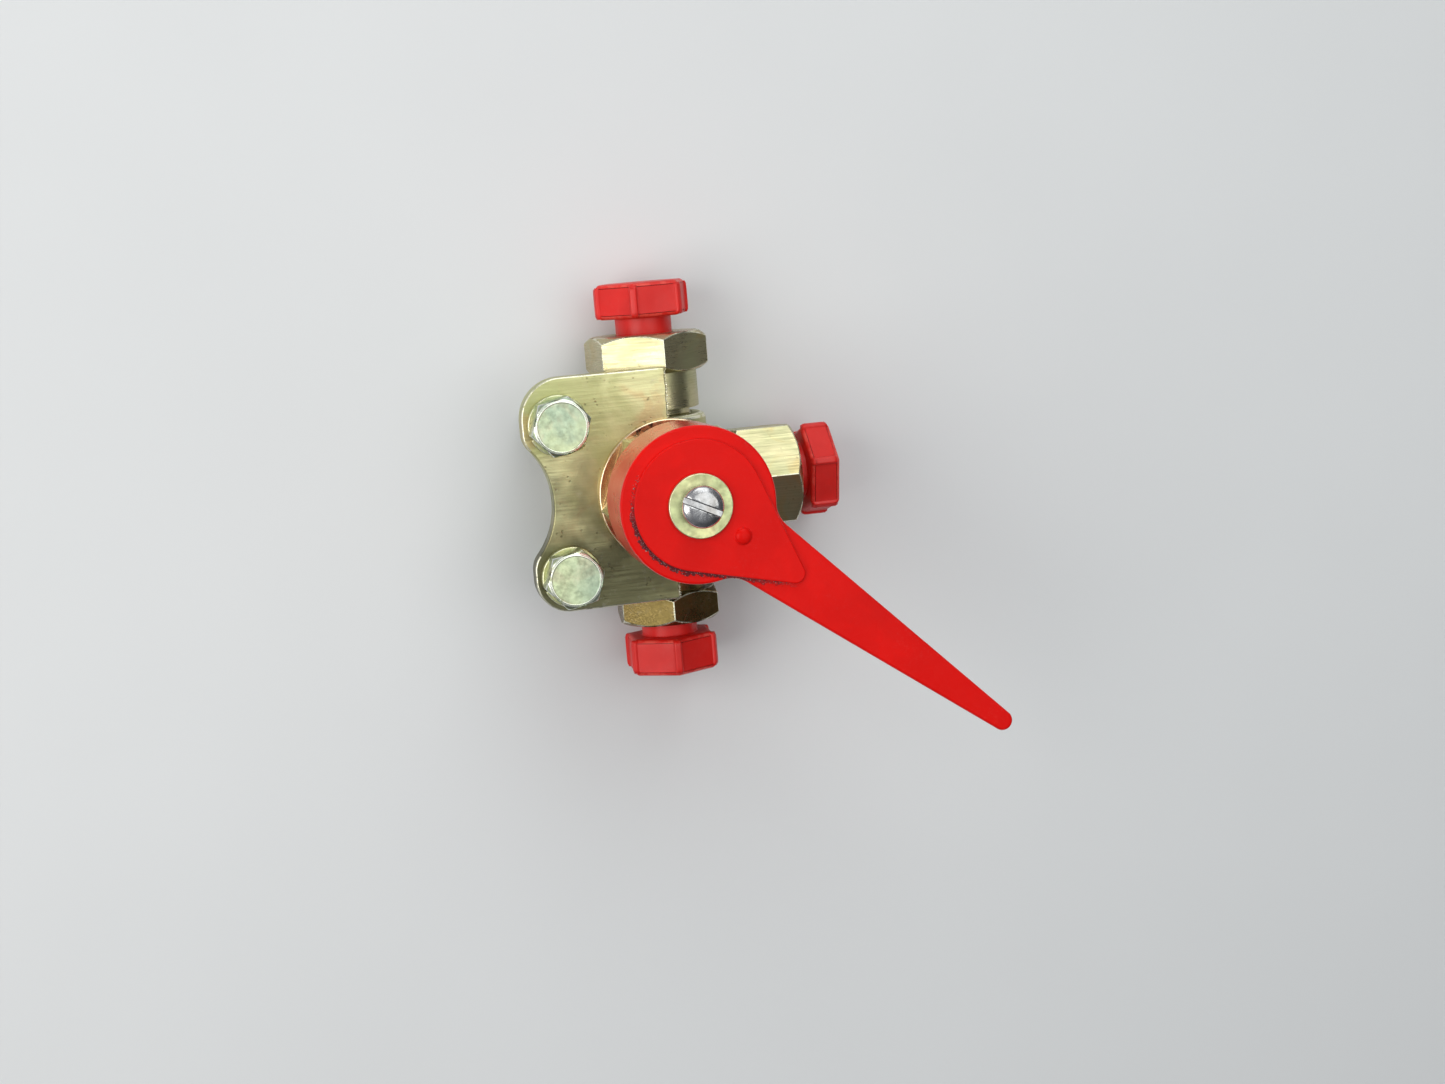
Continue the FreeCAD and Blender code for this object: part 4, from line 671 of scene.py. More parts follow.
def bonnet_gold():
    """Golden passivated steel with turned marks."""
    return plated("bonnet_gold", colours().bonnet, (0.74, 0.64, 0.38), (0.74, 0.46, 0.24), ROUND_Z,
                  roughness=0.20, marks_depth=0.015, skin_depth=0.02, amount=0.6, wear=0.9, pits=0.15)


# The middle of the sealing ring's dark patch, from the valve's centre.
SCUFF = Vector((-6, 16.2, 18)) * MM


def copper_ring():
    """Copper that turns a gold colour in places, with a scuffed dark patch."""
    finish = Finish("copper")
    tint = finish.group("tarnish", Base=rgb(colours().copper), First_Tint=(0.78, 0.58, 0.30, 1),
                        Second_Tint=(0.52, 0.28, 0.18, 1), Amount=0.85, Scale=75.0)
    tool = finish.group("brushed", Scale=every_way(900.0), Broken=0.9)
    from_scuff = finish.vector("SUBTRACT", finish.place, tuple(CENTRE + SCUFF))
    scuff = finish.math("MULTIPLY", finish.range(finish.reach(from_scuff), 6 * MM, 2 * MM),
                        finish.range(tool["Shade"], 0.42, 0.60))
    dark = finish.mix(scuff, tint["Color"], (0.07, 0.065, 0.06, 1))
    rubbed = finish.group("wear", Color=dark, Worn_Color=(0.95, 0.74, 0.52, 1), Edge=finish.edge(),
                          Amount=0.95)
    finish.set(Base_Color=rubbed["Color"], Metallic=1.0,
               Roughness=finish.range(tint["Mask"], 0.0, 1.0, 0.22, 0.34))
    finish.set(Normal=finish.bump(tool["Height"], 0.03 * MM))
    return finish.material


def every_way(scale):
    """A scale of marks that run in no one direction."""
    return (scale, scale, scale)


def bolt_zinc():
    """Pale green zinc with a frosted face."""
    return plated("bolt_zinc", colours().bolt, (0.42, 0.56, 0.44), (0.62, 0.58, 0.40), every_way(700.0),
                  roughness=0.30, marks_depth=0.02, skin_depth=0.05, amount=0.7, wear=0.9, pits=0.2,
                  worn=(0.86, 0.88, 0.80))


def washer_zinc(name="washer_zinc"):
    """Pale yellow zinc with a matt face."""
    return plated(name, colours().washer, (0.60, 0.68, 0.38), (0.72, 0.60, 0.36), every_way(500.0),
                  roughness=0.36, marks_depth=0.01, skin_depth=0.02, amount=0.6, wear=0.8, pits=0.1,
                  worn=(0.85, 0.84, 0.6))


def screw_steel():
    """Bare steel, smooth and slightly stained."""
    return plated("screw_steel", colours().screw, (0.42, 0.41, 0.42), (0.34, 0.30, 0.27),
                  every_way(900.0), roughness=0.17, marks_depth=0.012, skin_depth=0.02, amount=0.5,
                  wear=0.8, pits=0.2, worn=(0.8, 0.8, 0.8))


def plain_metal(name, base, roughness):
    """Turned steel of the pieces inside."""
    return plated(name, base, rgb(base, 0.9), rgb(base, 0.8), ROUND_Z, roughness=roughness,
                  marks_depth=0.01, amount=0.4, wear=0.4, dust=0.0, pits=0.05)


# The side of the lever where dark dirt and painted shade lie beside the teardrop.
GRIME_AND_SHADE_SIDE = (-0.55, -0.83, 0.0)


def lever_paint():
    """Red enamel: orange peel, chips on the edges, and dark dirt with painted shade in the crease beside
    the raised boss.
    """
    finish = Finish("lever_paint")
    red = rgb(colours().lever)
    centred = finish.vector("SUBTRACT", finish.place, tuple(CENTRE))
    turned = finish.node("ShaderNodeVectorRotate", {"Vector": centred, "Angle": -ARM_ANGLE},
                         rotation_type="Z_AXIS")
    local = turned.outputs[0]
    boss = finish.group("boss", Vector=local, Large_Radius=BOSS_RADIUS,
                        Small_Radius=BOSS_TIP_RADIUS, Span=BOSS_SPAN)
    gap = boss["Distance"]
    height = finish.split(finish.place)["Z"]
    on_plate = finish.math("LESS_THAN", height, LEVER_TOP - 0.15 * MM)
    facing = finish.split(finish.node("ShaderNodeNewGeometry").outputs["Normal"])["Z"]
    on_plate = finish.math("MULTIPLY", on_plate, finish.range(facing, 0.2, 0.8))
    # The dark band at the teardrop's foot on one side is dirt and also painted shade of the crease.
    where = finish.range(finish.along(centred, GRIME_AND_SHADE_SIDE), 4 * MM, 12 * MM)
    ragged = finish.clouds(finish.place, 620.0, 6.0, Roughness=0.7)
    reach = finish.range(ragged, 0.3, 0.7, 0.15 * MM, 1.35 * MM)
    near = finish.math("LESS_THAN", gap, reach)
    near = finish.math("MULTIPLY", near, finish.math("MULTIPLY", on_plate, where))
    specks = finish.node("ShaderNodeTexVoronoi", {"Vector": finish.place, "Scale": 2600.0})
    pale = finish.range(specks.outputs["Distance"], 0.30, 0.18)
    # Colour of that band: dark dirt with pale specks, standing in for the crease's shade as well.
    grime = finish.mix(pale, (0.045, 0.022, 0.028, 1), (0.36, 0.27, 0.27, 1))
    mottled = finish.group("tarnish", Base=red, First_Tint=rgb(colours().lever, 0.86),
                           Second_Tint=rgb(colours().lever, 1.10), Amount=0.6, Scale=48.0)
    grimed_and_shaded = finish.mix(finish.math("MULTIPLY", near, 0.86), mottled["Color"], grime)
    rubbed = finish.group("wear", Color=grimed_and_shaded, Worn_Color=(0.50, 0.03, 0.025, 1), Edge=finish.edge(),
                          Amount=0.35, Scale=700.0)
    dusty = finish.group("dust", Color=rubbed["Color"], Dust_Color=(0.62, 0.36, 0.33, 1), Amount=0.08,
                         Scale=1500.0)
    peel = finish.clouds(finish.place, 520.0, 2.0, Roughness=0.45)
    sag = finish.clouds(finish.place, 90.0, 2.0)
    rough = finish.math("ADD", finish.range(sag, 0.3, 0.7, 0.24, 0.36),
                        finish.math("MULTIPLY", finish.math("MAXIMUM", near, dusty["Mask"]), 0.35))
    flank = finish.range(facing, 0.25, 0.85, 1.0, 0.0)
    finish.set(Base_Color=dusty["Color"], Roughness=rough, Coat_Roughness=0.10,
               Coat_Weight=finish.math("MULTIPLY", flank, 0.55),
               Specular_IOR_Level=finish.math("MULTIPLY_ADD", flank, 0.40, 0.07))
    normal = finish.bump(peel, 0.035 * MM)
    normal = finish.bump(sag, 0.12 * MM, normal=normal)
    finish.set(Normal=finish.bump(finish.math("MULTIPLY", near, ragged), 0.10 * MM, normal=normal))
    return finish.material


def plug_plastic():
    """Red moulded plastic with a faint sparked texture and pale scuffs."""
    finish = Finish("plug_plastic")
    red = colours().plug
    mottled = finish.group("tarnish", Base=rgb(red), First_Tint=rgb(red, 0.84),
                           Second_Tint=rgb(red, 1.12), Amount=0.5, Scale=55.0)
    rubbed = finish.group("wear", Color=mottled["Color"], Worn_Color=(0.80, 0.07, 0.05, 1),
                          Edge=finish.edge(), Amount=0.7)
    dusty = finish.group("dust", Color=rubbed["Color"], Dust_Color=(0.72, 0.40, 0.36, 1), Amount=0.10)
    spark = finish.clouds(finish.place, 1700.0, 3.0, Roughness=0.6)
    flow = finish.clouds(finish.place, 150.0, 2.0)
    finish.set(Base_Color=dusty["Color"], Roughness=finish.range(flow, 0.3, 0.7, 0.34, 0.50))
    finish.set(Subsurface_Weight=0.12, Subsurface_Scale=0.0015, Specular_IOR_Level=0.45)
    normal = finish.bump(spark, 0.02 * MM)
    finish.set(Normal=finish.bump(flow, 0.10 * MM, normal=normal))
    return finish.material


def soft_finish(name, base, roughness, scale):
    """Rubber or seat plastic of the hidden seals."""
    finish = Finish(name)
    mottled = finish.group("tarnish", Base=rgb(base), First_Tint=rgb(base, 0.8),
                           Second_Tint=rgb(base, 1.15), Amount=0.6)
    fine = finish.clouds(finish.place, scale, 4.0)
    finish.set(Base_Color=mottled["Color"], Roughness=finish.range(fine, 0.3, 0.7, roughness - 0.08,
                                                                  roughness + 0.08))
    finish.set(Normal=finish.bump(fine, 0.02 * MM))
    return finish.material


def grime():
    """Dark crumbs with a few pale grains: dirt that also stands in for painted shade in the crease."""
    finish = Finish("grime")
    specks = finish.clouds(finish.place, 2400.0, 3.0)
    pale = finish.range(specks, 0.48, 0.62)
    finish.set(Base_Color=finish.mix(pale, (0.06, 0.03, 0.035, 1), (0.48, 0.30, 0.28, 1)),
               Roughness=finish.range(pale, 0.0, 1.0, 0.75, 0.9))
    finish.set(Normal=finish.bump(specks, 0.03 * MM))
    return finish.material


# ------------------------------------------------------------------- piece making
# Faces that meet at a smaller angle than this are one flat face.
FLAT = math.radians(0.3)
# Edges sharper than this are rounded.
SHARP = math.radians(22)
ROUNDING_STEPS = 3
# A face is part of a rounded edge if it is narrower than this share of the rounding.
NARROW_SHARE = 0.7
# Edges that fold inwards by less than this, in radians, still count as outward.
HOLLOW_PLAY = 0.02


def merged(node):
    """A node's shape as one joined mesh with its flat faces whole."""
    shape = bmesh.new()
    shape.from_mesh(frame["nodes"][node].data)
    bmesh.ops.remove_doubles(shape, verts=shape.verts, dist=WELD)
    bmesh.ops.dissolve_limit(shape, angle_limit=FLAT, verts=shape.verts, edges=shape.edges)
    return shape


def tidied(mesh, matrix=None):
    """A grown mesh moved to its place, its loose points joined and its faces outwards."""
    shape = bmesh.new()
    shape.from_mesh(mesh)
    bmesh.ops.remove_doubles(shape, verts=shape.verts, dist=WELD)
    if matrix is not None:
        bmesh.ops.transform(shape, matrix=matrix, verts=shape.verts)
    bmesh.ops.recalc_face_normals(shape, faces=shape.faces)
    shape.to_mesh(mesh)
    shape.free()
    return mesh


def mark_worn_edges(mesh, edge_round):
    """Store 1 on the middle of each rounded edge and 0 elsewhere."""
    shape = bmesh.new()
    shape.from_mesh(mesh)
    values = []
    narrow = {}
    for face in shape.faces:
        longest = max(edge.calc_length() for edge in face.edges)
        narrow[face.index] = face.calc_area() / longest < NARROW_SHARE * edge_round
    for vertex in shape.verts:
        outward = all(edge.is_convex or edge.calc_face_angle(0) < HOLLOW_PLAY for edge in vertex.link_edges
                      if len(edge.link_faces) == 2)
        worn = outward and all(narrow[face.index] for face in vertex.link_faces)
        values.append(1.0 if worn else 0.0)
    shape.free()
    layer = mesh.attributes.new("worn_edge", "FLOAT", "POINT")
    layer.data.foreach_set("value", values)


def finished(name, shape, material, body, stands_for=(), edge_round=0.0, chosen=None,
             extras=()):
    """One finished piece: its sharp edges rounded, its details joined on, riding on its body."""
    if edge_round:
        weight = shape.edges.layers.float.new("bevel_weight_edge")
        for edge in shape.edges:
            if len(edge.link_faces) == 2 and edge.calc_face_angle(0) > SHARP:
                spot = (edge.verts[0].co + edge.verts[1].co) / 2
                edge[weight] = 1.0 if chosen is None or chosen(spot) else 0.0
    for extra in extras:
        shape.from_mesh(extra)
    rough = bpy.data.meshes.new(name)
    shape.to_mesh(rough)
    shape.free()
    rough.materials.clear()
    rough.materials.append(material)
    for face in rough.polygons:
        face.use_smooth = True
        face.material_index = 0
    blank = bpy.data.objects.new("blank", rough)
    bpy.context.scene.collection.objects.link(blank)
    if edge_round:
        bevel = blank.modifiers.new("rounding", "BEVEL")
        bevel.width = edge_round
        bevel.segments = ROUNDING_STEPS
        bevel.limit_method = "WEIGHT"
        bevel.use_clamp_overlap = False
    normals = blank.modifiers.new("normals", "WEIGHTED_NORMAL")
    normals.weight = 50
    graph = bpy.context.evaluated_depsgraph_get()
    mesh = bpy.data.meshes.new_from_object(blank.evaluated_get(graph))
    blank.modifiers.clear()
    bpy.data.objects.remove(blank)
    mesh.name = name
    if edge_round:
        mark_worn_edges(mesh, edge_round)
    piece = bpy.data.objects.new(name, mesh)
    bpy.context.scene.collection.objects.link(piece)
    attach(piece, body)
    if stands_for:
        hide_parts(*stands_for)


def repaint(node, material):
    """Give a frame node a better material in its own slots."""
    mesh = frame["nodes"][node].data
    mesh.materials.clear()
    mesh.materials.append(material)


def port_matrix(port):
    """Turns +Z to a port's direction, with the valve centre as the origin."""
    return Matrix.Translation(CENTRE) @ PORTS[port].to_track_quat("Z", "Y").to_matrix().to_4x4()


def reach_along(node, port):
    """Nearest and farthest distance of a node from the valve centre along a port."""
    low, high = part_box(node)
    axis = PORTS[port]
    ends = sorted(((low - CENTRE).dot(axis), (high - CENTRE).dot(axis)))
    return ends


# ------------------------------------------------------------------- the lever's plan
def lever_plan():
    """Angle of the arm and the size of the raised teardrop, read from the lever's shape."""
    points = [v.co - CENTRE for v in frame["nodes"]["lever"].data.vertices]
    flat = [Vector((p.x, p.y)) for p in points]
    tip = max(flat, key=lambda p: p.length)
    angle = math.atan2(tip.y, tip.x)
    along = tip.normalized()
    boss_top = LEVER_TOP - CENTRE.z
    on_boss = [p for p, q in zip(flat, points) if abs(q.z - boss_top) < 2 * HAIR]
    ahead = max(p.dot(along) for p in on_boss)
    behind = -min(p.dot(along) for p in on_boss)
    return angle, behind, ahead


ARM_ANGLE, BOSS_RADIUS, BOSS_END = lever_plan()
BOSS_TIP_RADIUS = 2.3 * MM
BOSS_SPAN = BOSS_END - BOSS_TIP_RADIUS
BOSS_HEIGHT = 1.0 * MM
# The round dot, from the middle of the lever's screw towards the arm.
DOT_REACH = 12.4 * MM


def lever_spot(along, across, height=0.0):
    """A point given along and across the arm, at a height above the lever's plate."""
    turned = Matrix.Rotation(ARM_ANGLE, 3, "Z") @ Vector((along, across, 0))
    return Vector((CENTRE.x + turned.x, CENTRE.y + turned.y, LEVER_TOP - BOSS_HEIGHT + height))


# ---------------------------------------------------------------------- operators
class PieceOperator:
    """What the operators share. None of them returns CANCELLED: what fails raises an error."""
    bl_options = {"REGISTER"}


# Where the flange's cut faces are looked for: down from its top, and to each side of the centre.
FLANGE_DEPTH = 5.0 * MM
CUT_PLAY = 2 * MM
SHORTEST_CUT = 3 * MM
CUT_STEPS = 22
# How the cut wanders: waves and ripples to a metre along the edge and down it.
CUT_WAVES = (420, 120)
CUT_RIPPLES = (1500, 500)


def cut_faces(shape):
    """The faces of the flange where it was cut off beside the bonnet."""
    found = []
    for face in shape.faces:
        spot = face.calc_center_median()
        high = spot.z > FLANGE_TOP - FLANGE_DEPTH
        if face.normal.x > 0.98 and high and abs(spot.x - CENTRE.x) < CUT_PLAY:
            found.append(face)
    return found


def drift(place, start, scales):
    """Smooth noise along the cut edge and down it."""
    return noise.noise(Vector((start, place.y * scales[0], place.z * scales[1])))


def roughen_cut(shape):
    """Divide the flange's cut faces and let them wander; returns their upper edges as paths."""
    paths = []
    for upper in (True, False):
        faces = [f for f in cut_faces(shape) if (f.calc_center_median().y > CENTRE.y) == upper]
        if not faces:
            raise RuntimeError("the flange has no cut face where one is expected")
        edges = {e for f in faces for e in f.edges
                 if abs((e.verts[0].co - e.verts[1].co).y) > SHORTEST_CUT}
        made = bmesh.ops.subdivide_edges(shape, edges=list(edges), cuts=CUT_STEPS, use_grid_fill=True)
        inner = [v for v in made["geom_inner"] if isinstance(v, bmesh.types.BMVert)]
        for vertex in inner:
            wave = drift(vertex.co, 7.1, CUT_WAVES)
            ripple = drift(vertex.co, 3.3, CUT_RIPPLES)
            vertex.co.x += sizes().cut_waviness * (wave + 0.5 * ripple)
        top = sorted((v.co.copy() for v in inner if abs(v.co.z - FLANGE_TOP) < HAIR),
                     key=lambda p: p.y)
        paths.append(top)
    return paths


class VALVE_OT_forged_body(PieceOperator, bpy.types.Operator):
    """Build the forged body with rounded edges and its ragged cut edge"""
    bl_idname = "valve.forged_body"
    bl_label = "Forged body"

    def execute(self, context):
        shape = merged("valve_body")
        paths = roughen_cut(shape)
        material = forged_zinc()
        burrs = []
        for index, path in enumerate(paths):
            values = {"Count": 46, "Size": sizes().burr_size, "Spread": 0.16 * MM, "Flatness": 0.55,
                      "Seed": 5 + index, "Material": material}
            burrs.append(tidied(grown("grains", values, points_mesh(path, joined=True))))
        finished("forged_body", shape, material, "valve", ["valve_body"],
                 sizes().forging_round, extras=burrs)
        return {"FINISHED"}


# A port's thread starts above the bottom of its hole and is shorter than the hole.
PORT_THREAD_START = 0.2 * MM
PORT_THREAD_SHORTER = 1.4 * MM
PORT_THREAD_STEPS = 44


class VALVE_OT_port_fittings(PieceOperator, bpy.types.Operator):
    """Build the three screwed-in fittings with the thread in their outer ends"""
    bl_idname = "valve.port_fittings"
    bl_label = "Port fittings"

    def execute(self, context):
        for port, marks in (("top", ROUND_Y), ("bottom", ALONG_Z), ("side", ALONG_X)):
            node = f"{port}_adapter"
            # The bottom fitting takes the colours with painted shade.
            material = fitting_zinc(f"{port}_fitting_zinc", marks, shaded_golden=port == "bottom")
            outer = reach_along(node, port)[1]
            mouth = mount(f"{port}_port")["dims"]
            bore = mouth["r_mm"] * MM
            depth = mouth["length_mm"] * MM
            values = {"Root Radius": bore, "Height": -sizes().thread_height, "Pitch": sizes().port_pitch,
                      "Length": depth - PORT_THREAD_SHORTER, "Steps per Turn": PORT_THREAD_STEPS,
                      "Material": material}
            lift = Matrix.Translation((0, 0, outer - depth + PORT_THREAD_START))
            thread = tidied(grown("thread", values), port_matrix(port) @ lift)
            finished(f"{port}_fitting", merged(node), material, "valve", [node],
                     sizes().turned_round, extras=[thread])
        return {"FINISHED"}


class VALVE_OT_bonnet(PieceOperator, bpy.types.Operator):
    """Build the golden bonnet hexagon"""
    bl_idname = "valve.bonnet"
    bl_label = "Bonnet"

    def execute(self, context):
        finished("bonnet_hexagon", merged("bonnet"), bonnet_gold(), "valve", ["bonnet"],
                 sizes().turned_round)
        return {"FINISHED"}


class VALVE_OT_sealing_ring(PieceOperator, bpy.types.Operator):
    """Build the copper ring under the bonnet"""
    bl_idname = "valve.sealing_ring"
    bl_label = "Sealing ring"

    def execute(self, context):
        finished("copper_sealing_ring", merged("bonnet_seal_ring"), copper_ring(), "valve",
                 ["bonnet_seal_ring"], sizes().turned_round * 1.6)
        return {"FINISHED"}


# The dot's dome: its middle above the teardrop, and its height as a share of its radius.
DOME_LIFT = 0.1 * MM
DOME_FLATNESS = 0.5


def dot_dome():
    """The round top of the small dot on the teardrop, as a mesh."""
    shape = bmesh.new()
    place = Matrix.Translation(lever_spot(DOT_REACH, 0, BOSS_HEIGHT + DOME_LIFT))
    flat = Matrix.Diagonal((1.0, 1.0, DOME_FLATNESS, 1.0))
    bmesh.ops.create_uvsphere(shape, u_segments=48, v_segments=24, radius=sizes().dot_radius,
                              matrix=place @ flat)
    mesh = bpy.data.meshes.new("dot dome")
    shape.to_mesh(mesh)
    shape.free()
    return mesh


# Edges from this far below the lever's plate to this far above it are not rounded: the cup's upper
# edge is round there already, and the crease at the teardrop's foot stays sharp.
KEPT_BELOW = 0.9 * MM
KEPT_ABOVE = 0.02 * MM
# The dark crumbs, dirt that also stands in for painted shade, lie along a path round the teardrop's
# foot: degrees from the arm's direction, steps, and distances from the teardrop's side, from its tip
# and from the plate.
GRIME_SHADE_FROM = -170
GRIME_SHADE_TURN = 95
GRIME_SHADE_STEPS = 40
GRIME_SHADE_GAP = 0.45 * MM
GRIME_SHADE_TIP_GAP = 0.5 * MM
GRIME_SHADE_LIFT = 0.02 * MM


def grime_and_shade_path():
    """Points round the side of the teardrop's foot with dirt and painted shade, and on to its tip."""
    reach = BOSS_RADIUS + GRIME_SHADE_GAP
    path = []
    for step in range(GRIME_SHADE_STEPS + 1):
        angle = math.radians(GRIME_SHADE_FROM + GRIME_SHADE_TURN * step / GRIME_SHADE_STEPS)
        path.append(lever_spot(reach * math.cos(angle), reach * math.sin(angle), GRIME_SHADE_LIFT))
    path.append(lever_spot(BOSS_SPAN, -BOSS_TIP_RADIUS - GRIME_SHADE_TIP_GAP, GRIME_SHADE_LIFT))
    return path


class VALVE_OT_lever(PieceOperator, bpy.types.Operator):
    """Build the painted lever with dark dirt and painted shade beside its raised teardrop"""
    bl_idname = "valve.lever"
    bl_label = "Lever"

    def execute(self, context):
        plate = LEVER_TOP - BOSS_HEIGHT

        def rounded(spot):
            return not plate - KEPT_BELOW < spot.z < plate + KEPT_ABOVE

        material = lever_paint()
        finished("painted_lever", merged("lever"), material, "lever_group",
                 ["lever"], sizes().paint_round, rounded, extras=[dot_dome()])
        # Dark crumbs in the crease: dirt, and a dark stand-in for the crease's painted shade.
        material = grime()
        values = {"Count": 420, "Size": sizes().crumb_size, "Spread": 0.42 * MM, "Flatness": 0.5,
                  "Seed": 11, "Material": material}
        crumbs = tidied(grown("grains", values, points_mesh(grime_and_shade_path(), joined=True)))
        shape = bmesh.new()
        shape.from_mesh(crumbs)
        finished("crevice_grime_and_shade", shape, material, "lever_group")
        return {"FINISHED"}


class VALVE_OT_lever_fasteners(PieceOperator, bpy.types.Operator):
    """Build the washer and the slotted screw on the lever"""
    bl_idname = "valve.lever_fasteners"
    bl_label = "Lever fasteners"

    def execute(self, context):
        finished("lever_plain_washer", merged("lever_washer"), washer_zinc(), "lever_group",
                 ["lever_washer"], sizes().turned_round)
        finished("lever_slotted_screw", merged("lever_screw"), screw_steel(), "lever_group",
                 ["lever_screw"], sizes().turned_round * 0.8)
        return {"FINISHED"}


# From the end of each fitting to its plug's head.
PLUG_GAPS = {"top": 4.1 * MM, "bottom": 3.6 * MM, "side": 2.5 * MM}
# Grip strips sit this far inside the head's corners, start this far up it and are this much shorter.
STRIP_INSET = 0.6 * MM
STRIP_START = 0.25 * MM
STRIP_SHORTER = 0.9 * MM
# A plug's thread: its root inside the port's hole, where it starts from the shank's inner end, how
# much shorter it is than the shank in the fitting, and its height as a share of the port's.
SHANK_PLAY = 0.05 * MM
SHANK_THREAD_START = 0.3 * MM
SHANK_THREAD_SHORTER = 1.6 * MM
SHANK_THREAD_SHARE = 0.7


class VALVE_OT_plugs(PieceOperator, bpy.types.Operator):
    """Build the three moulded plugs with grip strips and a threaded shank"""
    bl_idname = "valve.plugs"
    bl_label = "Protective plugs"

    def execute(self, context):
        material = plug_plastic()
        for port in PORTS:
            node = f"{port}_plug"
            inner, outer = reach_along(node, port)
            mouth = reach_along(f"{port}_adapter", port)[1]
            head = outer - mouth - PLUG_GAPS[port]
            basis = port_matrix(port)
            corner = sizes().plug_flats / math.sqrt(3)
            values = {"Corner Radius": corner - STRIP_INSET, "Width": sizes().strip_width,
                      "Height": sizes().strip_height, "Start": outer - head + STRIP_START,
                      "Length": head - STRIP_SHORTER, "Material": material}
            roll = plug_roll(node, port)
            strips = tidied(grown("strips", values), basis @ Matrix.Rotation(roll, 4, "Z"))
            shank = mount(f"{port}_port")["dims"]["r_mm"] * MM - SHANK_PLAY
            values = {"Root Radius": shank, "Height": sizes().thread_height * SHANK_THREAD_SHARE,
                      "Pitch": sizes().port_pitch, "Length": mouth - inner - SHANK_THREAD_SHORTER,
                      "Steps per Turn": PORT_THREAD_STEPS, "Material": material}
            lift = Matrix.Translation((0, 0, inner + SHANK_THREAD_START))
            thread = tidied(grown("thread", values), basis @ lift)
            finished(f"{port}_cap_plug", merged(node), material, node, [node],
                     sizes().plug_round, extras=[strips, thread])
        return {"FINISHED"}


def plug_roll(node, port):
    """Turn of a plug's head about its axis: the direction of its outermost corner."""
    inverse = port_matrix(port).inverted()
    points = [inverse @ v.co for v in frame["nodes"][node].data.vertices]
    far = max(points, key=lambda p: math.hypot(p.x, p.y))
    return math.atan2(far.y, far.x)


# The bolts' thread: its root and height, and where it starts from the bolt's end.
BOLT_ROOT = 3.45 * MM
BOLT_THREAD_HEIGHT = 0.53 * MM
BOLT_THREAD_START = 0.3 * MM
# How deep the middle of a pressed rim's section lies in the bolt's head.
RIM_SUNK = 0.02 * MM


def turn_down_studs(shape, below):
    """Take the bolts down to their thread's root below a height."""
    for vertex in shape.verts:
        if vertex.co.z > below:
            continue
        axis = min(BOLT_PLACES, key=lambda p: abs(p.y - vertex.co.y))
        out = Vector((vertex.co.x, vertex.co.y - axis.y))
        if out.length > BOLT_ROOT:
            out = out.normalized() * BOLT_ROOT
            vertex.co.x, vertex.co.y = out.x, out.y + axis.y


class VALVE_OT_mounting_bolts(PieceOperator, bpy.types.Operator):
    """Build the mounting bolts, their nuts and their spring washers"""
    bl_idname = "valve.mounting_bolts"
    bl_label = "Mounting bolts"

    def execute(self, context):
        material = bolt_zinc()
        shape = merged("flange_bolts")
        nut_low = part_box("flange_nuts")[0].z
        low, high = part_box("flange_bolts")
        turn_down_studs(shape, nut_low + HAIR)
        extras = []
        for axis in BOLT_PLACES:
            start = low.z + BOLT_THREAD_START
            values = {"Root Radius": BOLT_ROOT, "Height": BOLT_THREAD_HEIGHT,
                      "Pitch": sizes().stud_pitch, "Length": nut_low - low.z - BOLT_THREAD_START,
                      "Steps per Turn": 36, "Material": material}
            lift = Matrix.Translation((axis.x, axis.y, start))
            extras.append(tidied(grown("thread", values), lift))
        tops = points_mesh([Vector((p.x, p.y, high.z - RIM_SUNK)) for p in BOLT_PLACES])
        extras.append(tidied(grown("rims", {"Radius": sizes().rim_radius, "Height": sizes().rim_height,
                                            "Material": material}, tops)))
        finished("mounting_bolts", shape, material, "valve", ["flange_bolts"],
                 sizes().turned_round, extras=extras)
        finished("mounting_nuts", merged("flange_nuts"), material, "valve",
                 ["flange_nuts"], sizes().turned_round)
        finished("split_spring_washers", merged("spring_washers"), washer_zinc("spring_washer_zinc"),
                 "valve", ["spring_washers"], sizes().turned_round * 1.2)
        return {"FINISHED"}


class VALVE_OT_inner_pieces(PieceOperator, bpy.types.Operator):
    """Give the ball, the stem and the seals inside their finishes"""
    bl_idname = "valve.inner_pieces"
    bl_label = "Inner pieces"

    def execute(self, context):
        chrome = plain_metal("ball_chrome", (0.62, 0.64, 0.66), 0.08)
        steel = plain_metal("stem_steel", (0.50, 0.49, 0.47), 0.24)
        white = soft_finish("seat_plastic", (0.80, 0.78, 0.72), 0.4, 900.0)
        rubber = soft_finish("seal_rubber", (0.02, 0.02, 0.022), 0.55, 1500.0)
        repaint("ball", chrome)
        repaint("stem", steel)
        repaint("stop_pin", steel)
        repaint("stem_thrust_washer", white)
        for node in sorted(frame["nodes"]):
            if node.endswith("_o_ring"):
                repaint(node, rubber)
            elif node.endswith("_seat"):
                repaint(node, white)
        return {"FINISHED"}


# -------------------------------------------------------------------------- stage
# The camera's directions, and the point it looks at from the valve's centre.
VIEW_RIGHT = Vector((0.9703, -0.0822, 0.2275))
VIEW_UP = Vector((0.1116, 0.9866, -0.1193))
VIEW_BACK = Vector((-0.2146, 0.1412, 0.9664))
AIM = Vector((14.27, -15.33, 5.41)) * MM
SENSOR_WIDTH = 36.0
FLOOR_HALF = 3.0
FLOOR_GAP = 0.05 * MM
# Each light's name, the direction it stands in, its distance, size, power and tint.
LIGHTS = (
    ("key", (-0.74, 0.06, 0.76), 0.75, 0.50, 2.6, (1.0, 0.98, 0.93)),
    ("upper", (0.15, 0.95, 0.70), 0.85, 0.60, 2.4, (0.97, 1.0, 0.97)),
    ("overhead", (0.28, 0.12, 1.0), 0.95, 0.70, 2.3, (0.98, 1.0, 0.95)),
)
